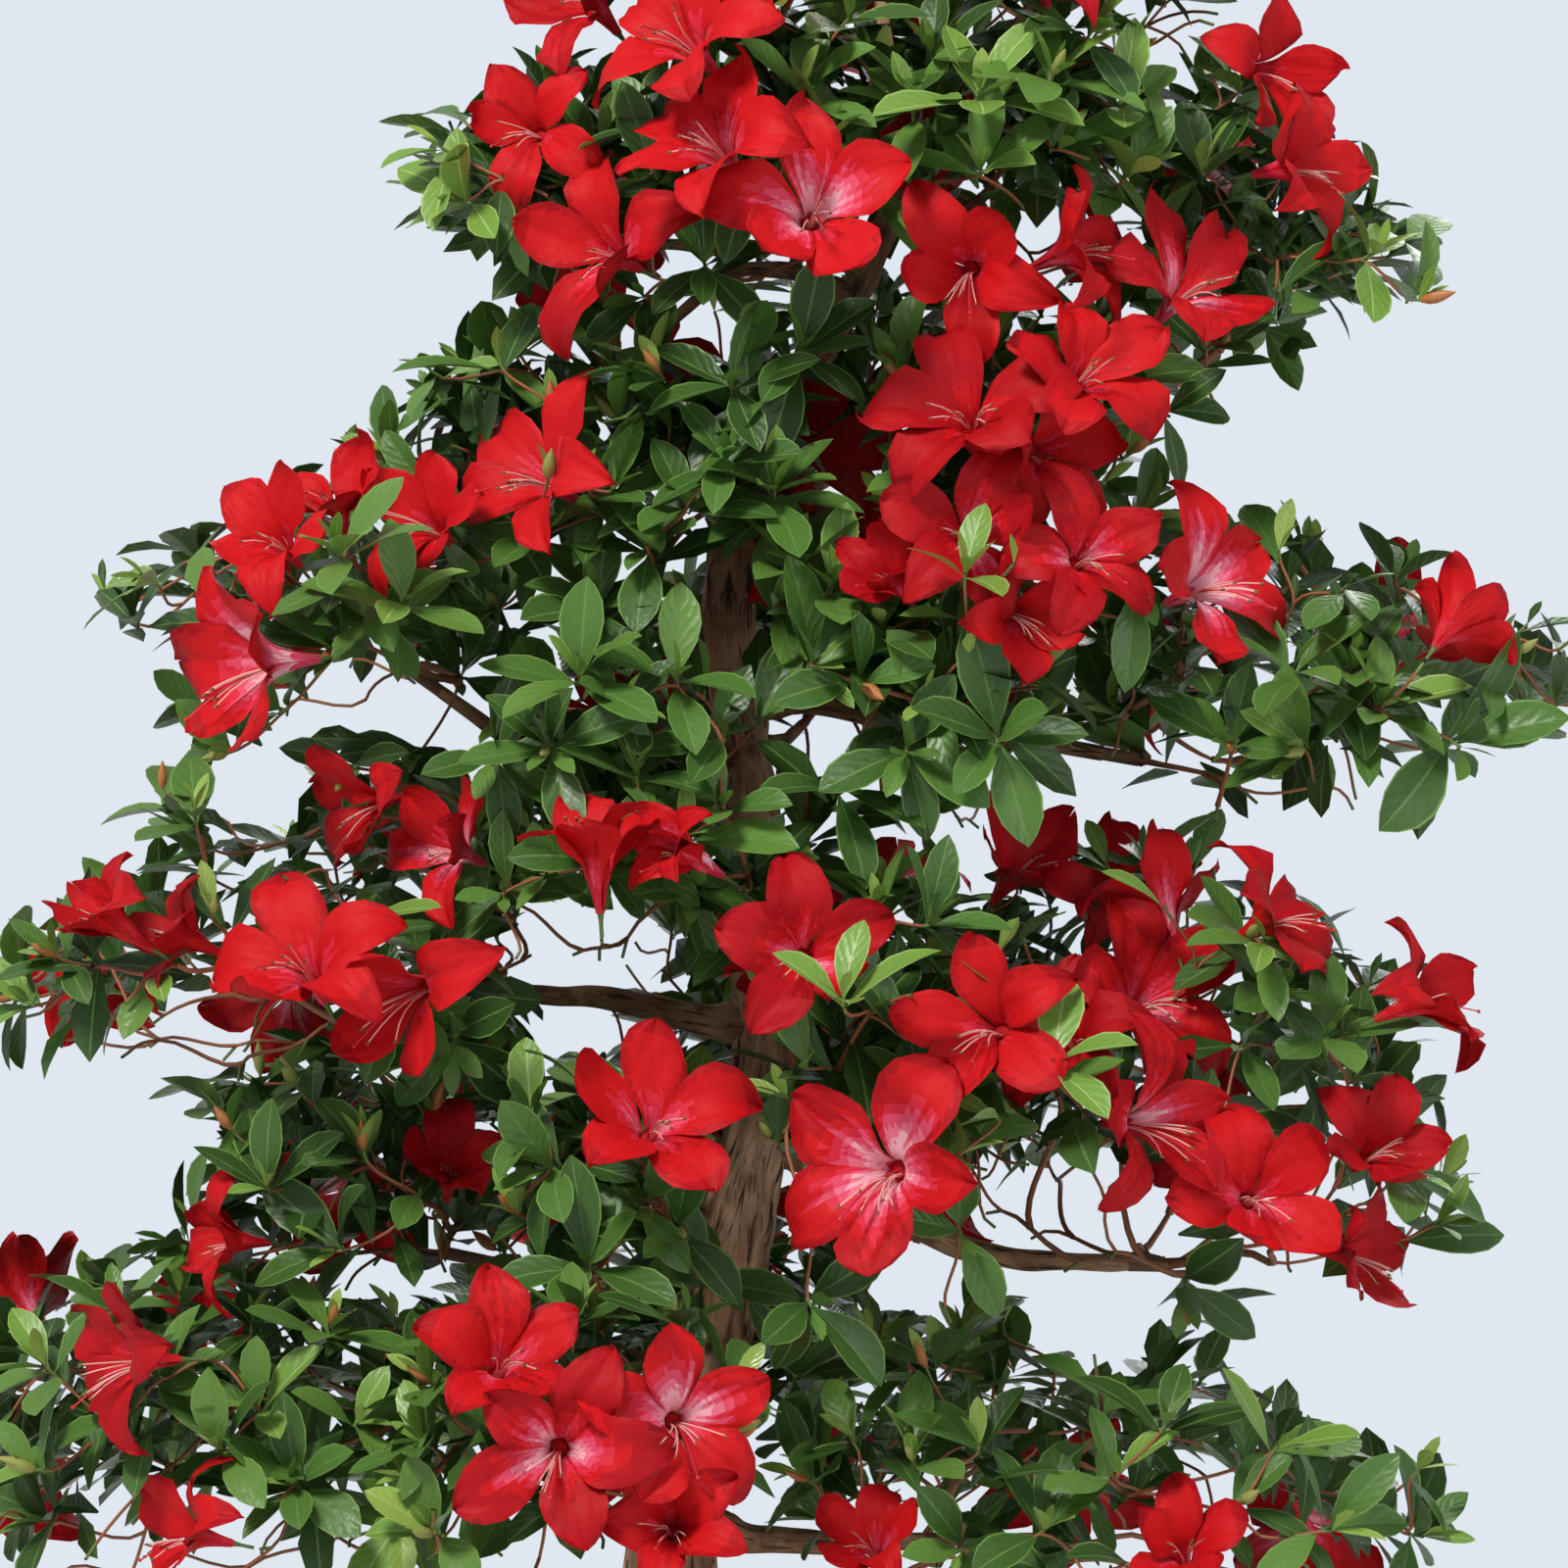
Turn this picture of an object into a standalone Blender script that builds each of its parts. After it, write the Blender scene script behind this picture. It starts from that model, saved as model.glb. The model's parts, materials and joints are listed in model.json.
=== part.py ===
"""A satsuki azalea bonsai in a shallow footed clay pot.

The tree is one bending trunk that stands on the levelled soil, eighteen boughs that
leave it in tiers, and twenty-seven masses of leafy twigs with their blossom. Each
bough is a tapering limb that stops 0.3 mm short of the trunk and of its mass.

Units are metres. +Z is up, +X is to the right and -Y is the front of the tree. The
origin is the centre of the pot's footprint, on the ground.
"""

import functools
import math
import random

import bmesh
import bpy
from mathutils import Matrix, Vector
from mathutils.bvhtree import BVHTree

MM = 0.001
GAP = 0.3 * MM  # what separates pieces that rest on or grow from each other
GOLDEN_TURN = math.pi * (3 - math.sqrt(5))

# ---------------------------------------------------------------- the pot
POT_LENGTH = 372 * MM
POT_DEPTH = 272 * MM
POT_HEIGHT = 84 * MM
POT_TAPER = 9 * MM  # how far each wall leans in from the top to the bottom
POT_CORNER = 26 * MM
WALL = 10 * MM
FLOOR = 11 * MM
RIM_HEIGHT = 11 * MM
RIM_OUT = 6 * MM
FOOT_LENGTH = 46 * MM
FOOT_DEPTH = 30 * MM
FOOT_HEIGHT = 9 * MM
FOOT_INSET = 12 * MM  # from the pot's lower edge to the foot's side
DRAIN_RADIUS = 11 * MM
DRAIN_SPACING = 150 * MM
CORNER_STEPS = 4

# ---------------------------------------------------------------- the soil
SOIL_BELOW_RIM = 9 * MM
GROUND = 91 * MM  # the levelled top of the mound, where the trunk stands
MOUND_TOP = (104 * MM, 82 * MM)  # half length and half depth of that level
MOUND_FOOT = (158 * MM, 112 * MM)
MOUND_SIDES = 20

# ---------------------------------------------------------------- the trunk
# The tree's own places are moved by this much, so that it balances over the pot.
TREE_PLACE = Vector((0, -5, 0))
# Where the trunk's middle line passes, in millimetres: x, y, height.
TRUNK_BENDS = (
    (-18, 0, 86),
    (-30, 5, 150),
    (-37, 10, 222),
    (-30, 8, 272),
    (-12, -4, 356),
    (-5, -7, 400),
    (-12, -1, 480),
    (-18, 8, 544),
    (-9, 10, 590),
    (24, 5, 645),
    (38, 0, 684),
    (30, -3, 750),
    (27, 0, 806),
)
TRUNK_RINGS = 25
TRUNK_FACETS = 2
TRUNK_BASE_RADIUS = 20.5 * MM
TRUNK_TIP_RADIUS = 2.4 * MM
TRUNK_TAPER = 0.86  # under 1, the trunk keeps its girth for longer
ROOTS = 6
ROOT_REACH = 52 * MM
ROOT_RISE = 40 * MM  # how high on the trunk a root starts to stand out
ROOT_RADIUS = 11 * MM
ROOT_SEED = 5

# ---------------------------------------------------------------- the boughs
# Name: height on the trunk, then the tip's x, y and height, all in millimetres,
# then the radius at the trunk and how far the limb sags below a straight line.
BOUGHS = {
    "low_left": (262, (-113, -6, 276), 6.0, 5),
    "low_front": (246, (-60, -62, 256), 4.6, 4),
    "low_right": (238, (46, -8, 236), 6.0, 3),
    "low_back": (252, (-22, 80, 262), 5.6, 4),
    "midlow_left": (318, (-98, 2, 326), 5.2, 6),
    "mid_right": (366, (112, -6, 326), 6.2, 16),
    "mid_back": (372, (6, 72, 372), 5.0, 4),
    "third_left": (404, (-88, -4, 414), 6.0, -5),
    "second_right": (508, (104, -2, 492), 5.4, 6),
    "second_back": (500, (4, 70, 500), 4.4, 4),
    "second_left": (488, (-112, 4, 512), 5.0, 8),
    "inner_left": (640, (-56, 2, 612), 3.6, -8),
    "centre_right": (560, (46, -20, 558), 3.8, 4),
    "upper_back": (584, (20, 62, 588), 3.8, 3),
    "upper_left": (650, (-58, -2, 656), 3.6, 4),
    "upper_right": (578, (132, -2, 616), 4.2, 10),
    "crown_left": (724, (-22, 0, 742), 2.9, 4),
    "crown_right": (704, (74, 0, 728), 3.2, 4),
}
BOUGH_TIP_SHARE = 0.52  # the tip's radius as a share of the root's
BOUGH_STATIONS = 7
BOUGH_SQUARE = 0.38  # how far a limb heads straight off the trunk before it bends away
BOUGH_WANDER = 2.2 * MM  # a trained limb never runs quite straight

# ---------------------------------------------------------------- the masses
# Name: centre and half sizes in millimetres, tilt in degrees (right side up), and
# the height on the trunk where the stem starts. No height means that it starts at
# the tip of the bough of the same name.
MASSES = {
    "low_left": ((-168, -10, 272), (106, 102, 62), 0, None),
    "low_front": ((-66, -112, 276), (64, 54, 58), 0, None),
    "low_right": ((112, -6, 262), (118, 104, 56), 0, None),
    "low_back": ((-18, 124, 284), (104, 58, 54), 0, None),
    "midlow_left": ((-150, 0, 352), (64, 90, 50), 0, None),
    "midlow_centre": ((-60, -44, 356), (50, 60, 54), 0, 340),
    "mid_right": ((142, -4, 390), (102, 102, 82), 0, None),
    "mid_inner": ((32, -70, 384), (52, 54, 82), 0, 388),
    "mid_back": ((6, 116, 388), (96, 58, 70), 0, None),
    "third_left": ((-168, -4, 436), (102, 98, 62), 0, None),
    "centre_left": ((-54, -60, 476), (48, 54, 66), 0, 470),
    "second_right": ((188, -2, 516), (102, 92, 58), 0, None),
    "inner_right": ((48, -50, 514), (54, 58, 48), 0, 522),
    "second_back": ((16, 108, 512), (94, 54, 58), 0, None),
    "second_left": ((-172, 0, 538), (86, 88, 52), 20, None),
    "inner_left": ((-84, -4, 590), (56, 78, 50), 24, None),
    "centre": ((-24, -48, 588), (46, 52, 50), 0, 574),
    "centre_right": ((76, -46, 584), (56, 60, 64), 0, None),
    "upper_back": ((30, 98, 610), (82, 52, 52), 0, None),
    "upper_left": ((-88, -6, 674), (60, 76, 52), 0, None),
    "upper_right": ((164, -2, 654), (64, 78, 72), 0, None),
    "upper_front": ((-8, -58, 688), (56, 54, 64), 0, 660),
    "upper_inner": ((78, -48, 690), (46, 56, 62), 0, 672),
    "upper_rear": ((34, 68, 700), (74, 50, 54), 0, 690),
    "crown_left": ((-46, 0, 766), (62, 68, 46), 0, None),
    "crown_right": ((104, 0, 758), (60, 68, 46), 0, None),
    "crown_tip": ((27, 0, 808), (58, 60, 38), 0, 800),
}
SPACE_POWER = 2.7  # over 2, a mass is fuller at its corners than an ellipsoid
SPACE_MARGIN = 0.5 * MM  # kept free on each side of the plane between two masses

# ---------------------------------------------------------------- twigs and leaves
SHOOTS_LEAST = 3  # places tried over a mass for a twig's tip, and one more for each
SHOOT_AREA = 4900 * MM * MM  # of its skin, taken as the sum of its three half sizes' products
UNDERSIDE = -0.55  # no twig ends lower than this, where 1 is the top of a mass
TWIG_SIDES = 3
STEM_RADIUS = 2.6 * MM
TWIG_RADIUS = 1.9 * MM
TWIG_TIP_RADIUS = 1.5 * MM
LEAVES = 4  # up the end of each twig, a golden turn apart
LEAF_SPACING = 5 * MM
LEAF_LENGTH = 47 * MM
LEAF_WIDTH = 20 * MM
LEAF_THICKNESS = 1.8 * MM
LEAF_SINK = 0.9 * MM  # how far a leaf's foot is sunk past the middle of its twig
LEAF_WIDEST = 0.14  # the blade is widest this far past the middle, of half a length
LIMB_CLEAR = 2.6 * MM
TWIG_CLEAR = 3.2 * MM

# ---------------------------------------------------------------- blossom
BLOOM_RADIUS = 31 * MM
BLOOM_DEPTH = 29 * MM  # from the foot of the tube to the tips of the lobes
BLOOM_THROAT = 7 * MM
BLOOM_LOBES = 5
BLOOM_NOTCH = 0.62  # the radius between two lobes, as a share of the lobe's
BLOOM_SPACING = 46 * MM
BLOOM_NUDGES = (0, 7, 14, 21)  # how far, in millimetres, a bloom may move to find room
# The x and height of the tube's foot in millimetres, the way that the bloom faces in
# degrees (0 is to the front, 90 to the right), its lift, its size, and how far it sits
# behind the foremost place that has room for it, in millimetres.
BLOOMS = (
    (-21, 713, -48, 34, 1.05, 6),
    (-13, 679, -35, 32, 1.08, 0),
    (8, 661, 2, 20, 1.08, 0),
    (-54, 727, -48, 40, 0.95, 8),
    (-47, 650, -36, 14, 1.0, 0),
    (62, 650, -8, -4, 0.95, 0),
    (80, 650, 66, 22, 0.9, 8),
    (121, 632, 42, 38, 1.05, 0),
    (64, 592, -14, 30, 1.08, 0),
    (90, 605, 30, 34, 0.95, 4),
    (76, 592, 35, -15, 0.95, 0),
    (60, 560, -2, 10, 0.9, 0),
    (92, 551, 22, 18, 0.9, 0),
    (127, 543, 62, 14, 1.0, 6),
    (-54, 575, -66, 28, 1.0, 0),
    (-108, 560, -30, 26, 0.85, 4),
    (-158, 553, -30, 34, 0.85, 8),
    (-152, 523, -60, -4, 1.1, 0),
    (-98, 456, -42, 20, 0.85, 0),
    (-60, 445, -8, 56, 0.95, 0),
    (-206, 428, -72, 24, 0.8, 6),
    (-183, 424, -68, 6, 0.85, 8),
    (-150, 411, -20, 38, 1.1, 0),
    (-110, 418, -40, -10, 1.05, 0),
    (5, 424, 8, 10, 1.02, 0),
    (42, 356, -28, 2, 1.15, 0),
    (68, 443, 32, 40, 0.95, 8),
    (146, 430, 58, 30, 0.95, 14),
    (74, 399, -24, 16, 1.0, 0),
    (109, 404, 28, 26, 1.12, 4),
    (98, 391, -20, 30, 0.9, 0),
    (104, 371, 48, 4, 1.0, 0),
    (193, 405, 76, 10, 0.85, 6),
    (148, 344, 18, 16, 1.0, 0),
    (172, 330, 60, -2, 0.85, 2),
    (-45, 362, 6, 34, 1.05, 0),
    (-197, 294, -60, 2, 0.95, 0),
    (-180, 234, -68, 14, 0.85, 0),
    (-95, 285, 14, 36, 0.98, 8),
    (-73, 266, 0, 2, 1.05, 0),
    (-38, 274, 14, 6, 1.0, 4),
)
# The blossom of the sides that the front doesn't show: mass and how many.
REAR_BLOOMS = {
    "low_right": 1,
    "low_back": 1,
    "mid_right": 1,
    "mid_back": 1,
    "second_right": 1,
    "second_back": 1,
    "upper_back": 2,
    "upper_right": 1,
    "upper_rear": 1,
    "crown_left": 1,
    "crown_right": 1,
    "crown_tip": 1,
}


def clear_scene():
    for item in list(bpy.data.objects):
        bpy.data.objects.remove(item)


def new_collection(name):
    made = bpy.data.collections.new(name)
    bpy.context.scene.collection.children.link(made)
    return made


def finish(name, colour, roughness):
    """A Principled material of one colour."""
    made = bpy.data.materials.new(name)
    made.use_nodes = True
    shader = made.node_tree.nodes["Principled BSDF"]
    shader.inputs["Base Color"].default_value = (*colour, 1.0)
    shader.inputs["Roughness"].default_value = roughness
    shader.inputs["Metallic"].default_value = 0.0
    return made


def add_object(name, data, collection, material=None):
    made = bpy.data.objects.new(name, data)
    collection.objects.link(made)
    if material:
        data.materials.append(material)
    return made


def at(place):
    """A place of the tree, given in millimetres, in the shared frame."""
    return (Vector(place) + TREE_PLACE) * MM


# ---------------------------------------------------------------- paths
def smooth_path(stations, steps):
    """Points at even steps on one smooth curve through all the stations."""
    ends = [2 * stations[0] - stations[1], *stations, 2 * stations[-1] - stations[-2]]
    spans = len(stations) - 1
    path = []
    for step in range(steps + 1):
        along = step / steps * spans
        span = min(int(along), spans - 1)
        t = along - span
        a, b, c, d = ends[span : span + 4]
        path.append(
            0.5 * (2 * b + (c - a) * t + (2 * a - 5 * b + 4 * c - d) * t**2 + (3 * b - a - 3 * c + d) * t**3)
        )
    return path


def trunk_line():
    return smooth_path([at(bend) for bend in TRUNK_BENDS], TRUNK_RINGS)


def trunk_radius(share):
    """The trunk's radius, where 0 is its foot and 1 its tip."""
    return TRUNK_TIP_RADIUS + (TRUNK_BASE_RADIUS - TRUNK_TIP_RADIUS) * (1 - share) ** (1 / TRUNK_TAPER)


def trunk_at(height):
    """The trunk's middle, direction and radius at a height."""
    line = trunk_line()
    for index in range(len(line) - 1):
        low, high = line[index], line[index + 1]
        if low.z <= height <= high.z:
            share = (height - low.z) / (high.z - low.z)
            radius = trunk_radius((index + share) / TRUNK_RINGS)
            return low.lerp(high, share), (high - low).normalized(), radius
    return line[-1], (line[-1] - line[-2]).normalized(), TRUNK_TIP_RADIUS


@functools.cache
def bark_skin():
    """The trunk's faceted skin, to measure from."""
    line = trunk_line()
    radii = [trunk_radius(index / TRUNK_RINGS) for index in range(len(line))]
    trial = to_mesh(tube("trial", line, radii, TRUNK_FACETS, bpy.context.scene.collection, None))
    skin = BVHTree.FromPolygons(
        [vertex.co for vertex in trial.data.vertices], [face.vertices for face in trial.data.polygons]
    )
    bpy.data.objects.remove(trial)
    return skin


def leave_trunk(height, target, girth):
    """Where a limb of that radius that heads for target starts, a gap off the bark, and its direction."""
    middle, rise, radius = trunk_at(height)
    out = target - middle
    out = (out - out.dot(rise) * rise).normalized()
    side = out.cross(rise)
    turns = [math.tau * step / 16 for step in range(16)]
    rim = [Vector()] + [(rise * math.sin(turn) + side * math.cos(turn)) * girth for turn in turns]
    away = radius + 3 * girth
    for _ in range(6):
        away -= min(bark_skin().find_nearest(middle + out * away + place)[3] for place in rim) - GAP
    return middle + out * away, out


@functools.cache
def bough_line(name):
    """A limb's points, from the trunk to its tip, sagging in between."""
    height, tip, girth, sag = BOUGHS[name]
    tip = at(tip)
    start, out = leave_trunk(height * MM, tip, girth * MM)
    reach = (tip - start).length
    rng = random.Random(name)
    points = []
    for station in range(BOUGH_STATIONS):
        t = station / (BOUGH_STATIONS - 1)
        bend = start + out * BOUGH_SQUARE * reach
        point = start.lerp(bend, t).lerp(bend.lerp(tip, t), t)
        bulge = math.sin(math.pi * t)
        wander = Vector((rng.uniform(-1, 1), rng.uniform(-1, 1), rng.uniform(-1, 1)))
        point += wander * BOUGH_WANDER * bulge - Vector((0, 0, sag * MM * bulge * min(1, 2 * t)))
        points.append(point)
    points[1] = start + out * (points[1] - start).length
    return points


def bough_radii(name):
    root = BOUGHS[name][2] * MM
    last = BOUGH_STATIONS - 1
    return [root * (1 - (1 - BOUGH_TIP_SHARE) * station / last) for station in range(BOUGH_STATIONS)]


def all_limbs():
    """(points, radii) of the trunk and of every bough."""
    trunk = trunk_line()
    limbs = [(trunk, [trunk_radius(index / TRUNK_RINGS) for index in range(len(trunk))])]
    return limbs + [(bough_line(name), bough_radii(name)) for name in BOUGHS]


# ---------------------------------------------------------------- spaces
class Space:
    """The rounded block that one mass keeps to, and the planes that part it from its neighbours."""

    def __init__(self, name):
        centre, half, tilt, _ = MASSES[name]
        self.name = name
        self.centre = at(centre)
        self.half = Vector(half) * MM
        self.turn = Matrix.Rotation(math.radians(-tilt), 3, "Y")
        self.planes = []

    def at(self, direction, share):
        """The point at a share of the way from the centre to the skin, that way in the block's own axes."""
        size = sum(abs(part) ** SPACE_POWER for part in direction) ** (1 / SPACE_POWER)
        local = Vector([part * side for part, side in zip(direction, self.half)])
        return self.centre + self.turn @ (local * share / size)

    def support(self, direction):
        """How far the block reaches that way."""
        local = self.turn.transposed() @ direction
        power = SPACE_POWER / (SPACE_POWER - 1)
        return sum(abs(part * side) ** power for part, side in zip(local, self.half)) ** (1 / power)

    def holds(self, point):
        local = self.turn.transposed() @ (point - self.centre)
        if sum(abs(part / side) ** SPACE_POWER for part, side in zip(local, self.half)) > 1:
            return False
        return all((point - place).dot(normal) < -SPACE_MARGIN for place, normal in self.planes)


def part_spaces(spaces):
    """Puts a plane between each two masses that would meet, where their sizes balance."""
    for index, first in enumerate(spaces):
        for second in spaces[index + 1 :]:
            across = second.centre - first.centre
            normal = across.normalized()
            one, other = first.support(normal), second.support(-normal)
            if one + other < across.length:
                continue
            place = first.centre + across * (one / (one + other))
            first.planes.append((place, normal))
            second.planes.append((place, -normal))


def clear_of_limbs(points, limbs, clear=LIMB_CLEAR):
    for line, radii in limbs:
        for low, high, radius in zip(line, line[1:], radii):
            span = high - low
            for point in points:
                t = max(0.0, min(1.0, (point - low).dot(span) / span.length_squared))
                if (point - low - span * t).length < radius + clear:
                    return False
    return True


# ---------------------------------------------------------------- small solids
def unit_leaf():
    """A leaf of unit length, width and thickness along Z, X and Y, with its foot at the origin."""
    mesh = bpy.data.meshes.new("leaf")
    shape = bmesh.new()
    bmesh.ops.create_uvsphere(shape, u_segments=4, v_segments=2, radius=0.5)
    for vertex in shape.verts:
        if abs(vertex.co.z) < 0.1:
            vertex.co.z += 0.5 * LEAF_WIDEST
        vertex.co.z += 0.5
    shape.to_mesh(mesh)
    shape.free()
    return mesh


def unit_bloom():
    """A five-lobed funnel that opens along Z, with the foot of its tube at the origin."""
    mesh = bpy.data.meshes.new("bloom")
    shape = bmesh.new()
    steps = 2 * BLOOM_LOBES
    bmesh.ops.create_cone(
        shape, cap_ends=True, cap_tris=True, segments=steps, radius1=0, radius2=1, depth=1
    )
    share_at = (BLOOM_NOTCH, 1.0)
    for vertex in shape.verts:
        on_rim = vertex.co.xy.length > 0.5
        if on_rim:
            angle = math.atan2(vertex.co.y, vertex.co.x)
            share = share_at[round(angle / math.tau * steps) % 2]
            radius = BLOOM_RADIUS * share
            height = BLOOM_DEPTH * (0.38 + 0.62 * share)
            vertex.co = (radius * math.cos(angle), radius * math.sin(angle), height)
        else:
            vertex.co.z = BLOOM_THROAT if vertex.co.z > 0 else 0
    bmesh.ops.recalc_face_normals(shape, faces=shape.faces)
    shape.to_mesh(mesh)
    shape.free()
    return mesh


def twig_mesh(start, end, start_radius, end_radius):
    mesh = bpy.data.meshes.new("twig")
    shape = bmesh.new()
    run = end - start
    bmesh.ops.create_cone(
        shape,
        cap_ends=True,
        segments=TWIG_SIDES,
        radius1=start_radius,
        radius2=end_radius,
        depth=run.length,
        matrix=Matrix.Translation((start + end) / 2) @ run.to_track_quat("Z", "Y").to_matrix().to_4x4(),
    )
    shape.to_mesh(mesh)
    shape.free()
    return mesh


def facing(turn, lift):
    """The unit vector of a bloom's face: turn from the front towards the right, lift above the level."""
    turn, lift = math.radians(turn), math.radians(lift)
    return Vector((math.sin(turn) * math.cos(lift), -math.cos(turn) * math.cos(lift), math.sin(lift)))


# ---------------------------------------------------------------- the growing rule
def leaf_turn(direction, up):
    """A leaf's axes: its length along direction, its upper face towards up."""
    side = up.cross(direction).normalized()
    face = direction.cross(side)
    return Matrix((side, face, direction)).transposed()


def leaf_points(foot, turn, length, width):
    """Points all over a blade, those of its middle line first."""
    side, _, direction = turn.col
    middle = [foot + direction * length * step / 8 for step in range(2, 9)]
    edges = []
    for step in (2, 3, 4, 5, 6):
        reach = width / 2 * min(step / 8 / 0.57, (1 - step / 8) / 0.43)
        edges += [foot + direction * length * step / 8 + side * reach * way for way in (-1, -0.5, 0.5, 1)]
    return middle + edges


def bloom_frame(axis, turn):
    return axis.to_track_quat("Z", "Y").to_matrix() @ Matrix.Rotation(turn, 3, "Z")


def bloom_points(foot, frame, size):
    """The foot of a bloom's tube and the corners of its lobes."""
    steps = 2 * BLOOM_LOBES
    rim, height = BLOOM_RADIUS * size, BLOOM_DEPTH * size
    angles = [math.tau * step / steps for step in range(1, steps, 2)]
    return [foot, *[foot + frame @ Vector((rim * math.cos(a), rim * math.sin(a), height)) for a in angles]]


def bloom_clear(foot, axis, size, limbs):
    """Whether no limb comes into the cone that a bloom fills."""
    for line, radii in limbs:
        for low, high, radius in zip(line, line[1:], radii):
            parts = 1 + int((high - low).length / (3 * MM))
            for part in range(parts + 1):
                offset = low.lerp(high, part / parts) - foot
                along = offset.dot(axis)
                spread = max(0.0, along) * BLOOM_RADIUS / BLOOM_DEPTH + radius + 3 * MM
                ahead = -6 * MM < along + radius and along < BLOOM_DEPTH * size + radius + 3 * MM
                if ahead and (offset - axis * along).length < spread:
                    return False
    return True


def fitting_turn(space, limbs, foot, axis, size):
    """The first turn of a bloom about its axis that keeps its lobes in the space, or None."""
    if not space.holds(foot) or not space.holds(foot + axis * BLOOM_DEPTH * size):
        return None
    for step in range(6):
        turn = math.tau / BLOOM_LOBES * step / 6
        if all(space.holds(point) for point in bloom_points(foot, bloom_frame(axis, turn), size)):
            return turn if bloom_clear(foot, axis, size, limbs) else None
    return None


def nudges():
    """Sideways and upright shifts in rings, the smallest first."""
    for ring in BLOOM_NUDGES:
        for step in range(8 if ring else 1):
            angle = math.tau * step / 8
            yield Vector((ring * math.cos(angle), 0, ring * math.sin(angle))) * MM


def bloom_middle(foot, axis, size):
    return foot + axis * 0.6 * BLOOM_DEPTH * size


def apart(foot, axis, size, others):
    """Whether a bloom keeps clear of those that are placed, but for the edges of its lobes."""
    middle = bloom_middle(foot, axis, size)
    return all(
        (middle - bloom_middle(*other[:3])).length > BLOOM_SPACING * (size + other[2]) / 2
        for other in others
    )


def place_bloom(spaces, limbs, homes, x, z, axis, size, deeper):
    """The foremost place for a bloom, as (mass, foot, turn), with the least shift, or None."""
    for shift in nudges():
        choices = []
        for space in spaces:
            depth = space.centre.y - space.half.y
            while depth < space.centre.y + 0.3 * space.half.y:
                foot = Vector((x, depth, z)) + shift
                fits = apart(foot, axis, size, homes[space.name])
                if fits and fitting_turn(space, limbs, foot, axis, size) is not None:
                    for back in (deeper, deeper / 2, 0):
                        behind = foot + Vector((0, back * MM, 0))
                        turn = fitting_turn(space, limbs, behind, axis, size)
                        if turn is not None and apart(behind, axis, size, homes[space.name]):
                            choices.append((depth, space.name, behind, turn))
                            break
                    break
                depth += 3 * MM
        if choices:
            return min(choices, key=lambda choice: choice[:2])[1:]
    return None


def place_table(spaces, limbs):
    """Gives each bloom of the table to the mass that can hold it nearest to the front."""
    homes = {space.name: [] for space in spaces}
    for x, z, turn, lift, full_size, deeper in BLOOMS:
        x, _, z = at((x, 0, z))
        axis = facing(turn, lift)
        for shrink in (1.0, 0.88, 0.76):
            found = place_bloom(spaces, limbs, homes, x, z, axis, full_size * shrink, deeper)
            if found:
                name, foot, spin = found
                homes[name].append((foot, axis, full_size * shrink, spin))
                shift = (foot - Vector((x, foot.y, z))).length / MM
                if shrink < 1 or shift > 8:
                    print("  bloom", round(x / MM), round(z / MM), "in", name, "shrunk", shrink, "moved", round(shift))
                break
        else:
            print("no room for the bloom", x, z)
    return homes


def add_rear_blooms(space, limbs, rng, found):
    """Blossom for the sides and the back of a mass."""
    wanted = REAR_BLOOMS.get(space.name, 0)
    for _ in range(300):
        if not wanted:
            break
        angle = rng.uniform(0.0, math.pi)
        out = Vector((math.cos(angle), math.sin(angle) * 1.2, rng.uniform(-0.1, 0.8))).normalized()
        foot = space.at(out, rng.uniform(0.25, 0.6))
        axis = (out + Vector((0, 0.2, 0.2))).normalized()
        size = rng.uniform(0.8, 1.0)
        clear = apart(foot, axis, size, found)
        turn = fitting_turn(space, limbs, foot, axis, size) if clear else None
        if turn is not None:
            found.append((foot, axis, size, turn))
            wanted -= 1
    if wanted:
        print("  rear blooms left out:", space.name, wanted)


def shoot_tips(space):
    """The places where leafy twigs end: an even spiral over the mass, less its underside."""
    tips = []
    wide, deep, high = space.half
    shoots = SHOOTS_LEAST + round((wide * deep + deep * high + high * wide) / SHOOT_AREA)
    for index in range(shoots):
        height = 1 - 2 * (index + 0.5) / shoots
        if height < UNDERSIDE:
            continue
        ring = math.sqrt(1 - height * height)
        angle = index * GOLDEN_TURN
        direction = Vector((ring * math.cos(angle), ring * math.sin(angle), height))
        skin = (space.at(direction, 1.0) - space.centre).length
        share = max(0.34, (skin - 0.72 * LEAF_LENGTH) / skin)
        tips.append((space.at(direction, share), direction))
    return tips


def grow_twigs(start, aims, limbs):
    """Joins every aim to the stem by the nearest clear twig. Each twig is (foot, tip, radius at foot)."""
    joints = [start]
    twigs = []
    for aim in sorted(aims, key=lambda point: (point - start).length):
        for foot in sorted(joints, key=lambda joint: (joint - aim).length + 0.3 * (joint - start).length):
            parts = 2 + int((aim - foot).length / (3 * MM))
            steps = [foot.lerp(aim, step / parts) for step in range(1, parts + 1)]
            if clear_of_limbs(steps, limbs, TWIG_CLEAR):
                twigs.append((foot, aim, STEM_RADIUS if foot == start else TWIG_RADIUS))
                joints += [foot.lerp(aim, 0.5), aim]
                break
    return twigs


def stem_of(name, space):
    """Where a mass's stem starts, 0.3 mm clear of its bough's tip or of the trunk, and where it heads."""
    height = MASSES[name][3]
    if height is None:
        line = bough_line(name)
        out = (line[-1] - line[-2]).normalized()
        return line[-1] + out * GAP, out
    if height * MM >= trunk_line()[-1].z - 8 * MM:
        tip, rise, _ = trunk_at(1.0)
        return tip + rise * GAP, rise
    return leave_trunk(height * MM, space.centre, STEM_RADIUS)


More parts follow.
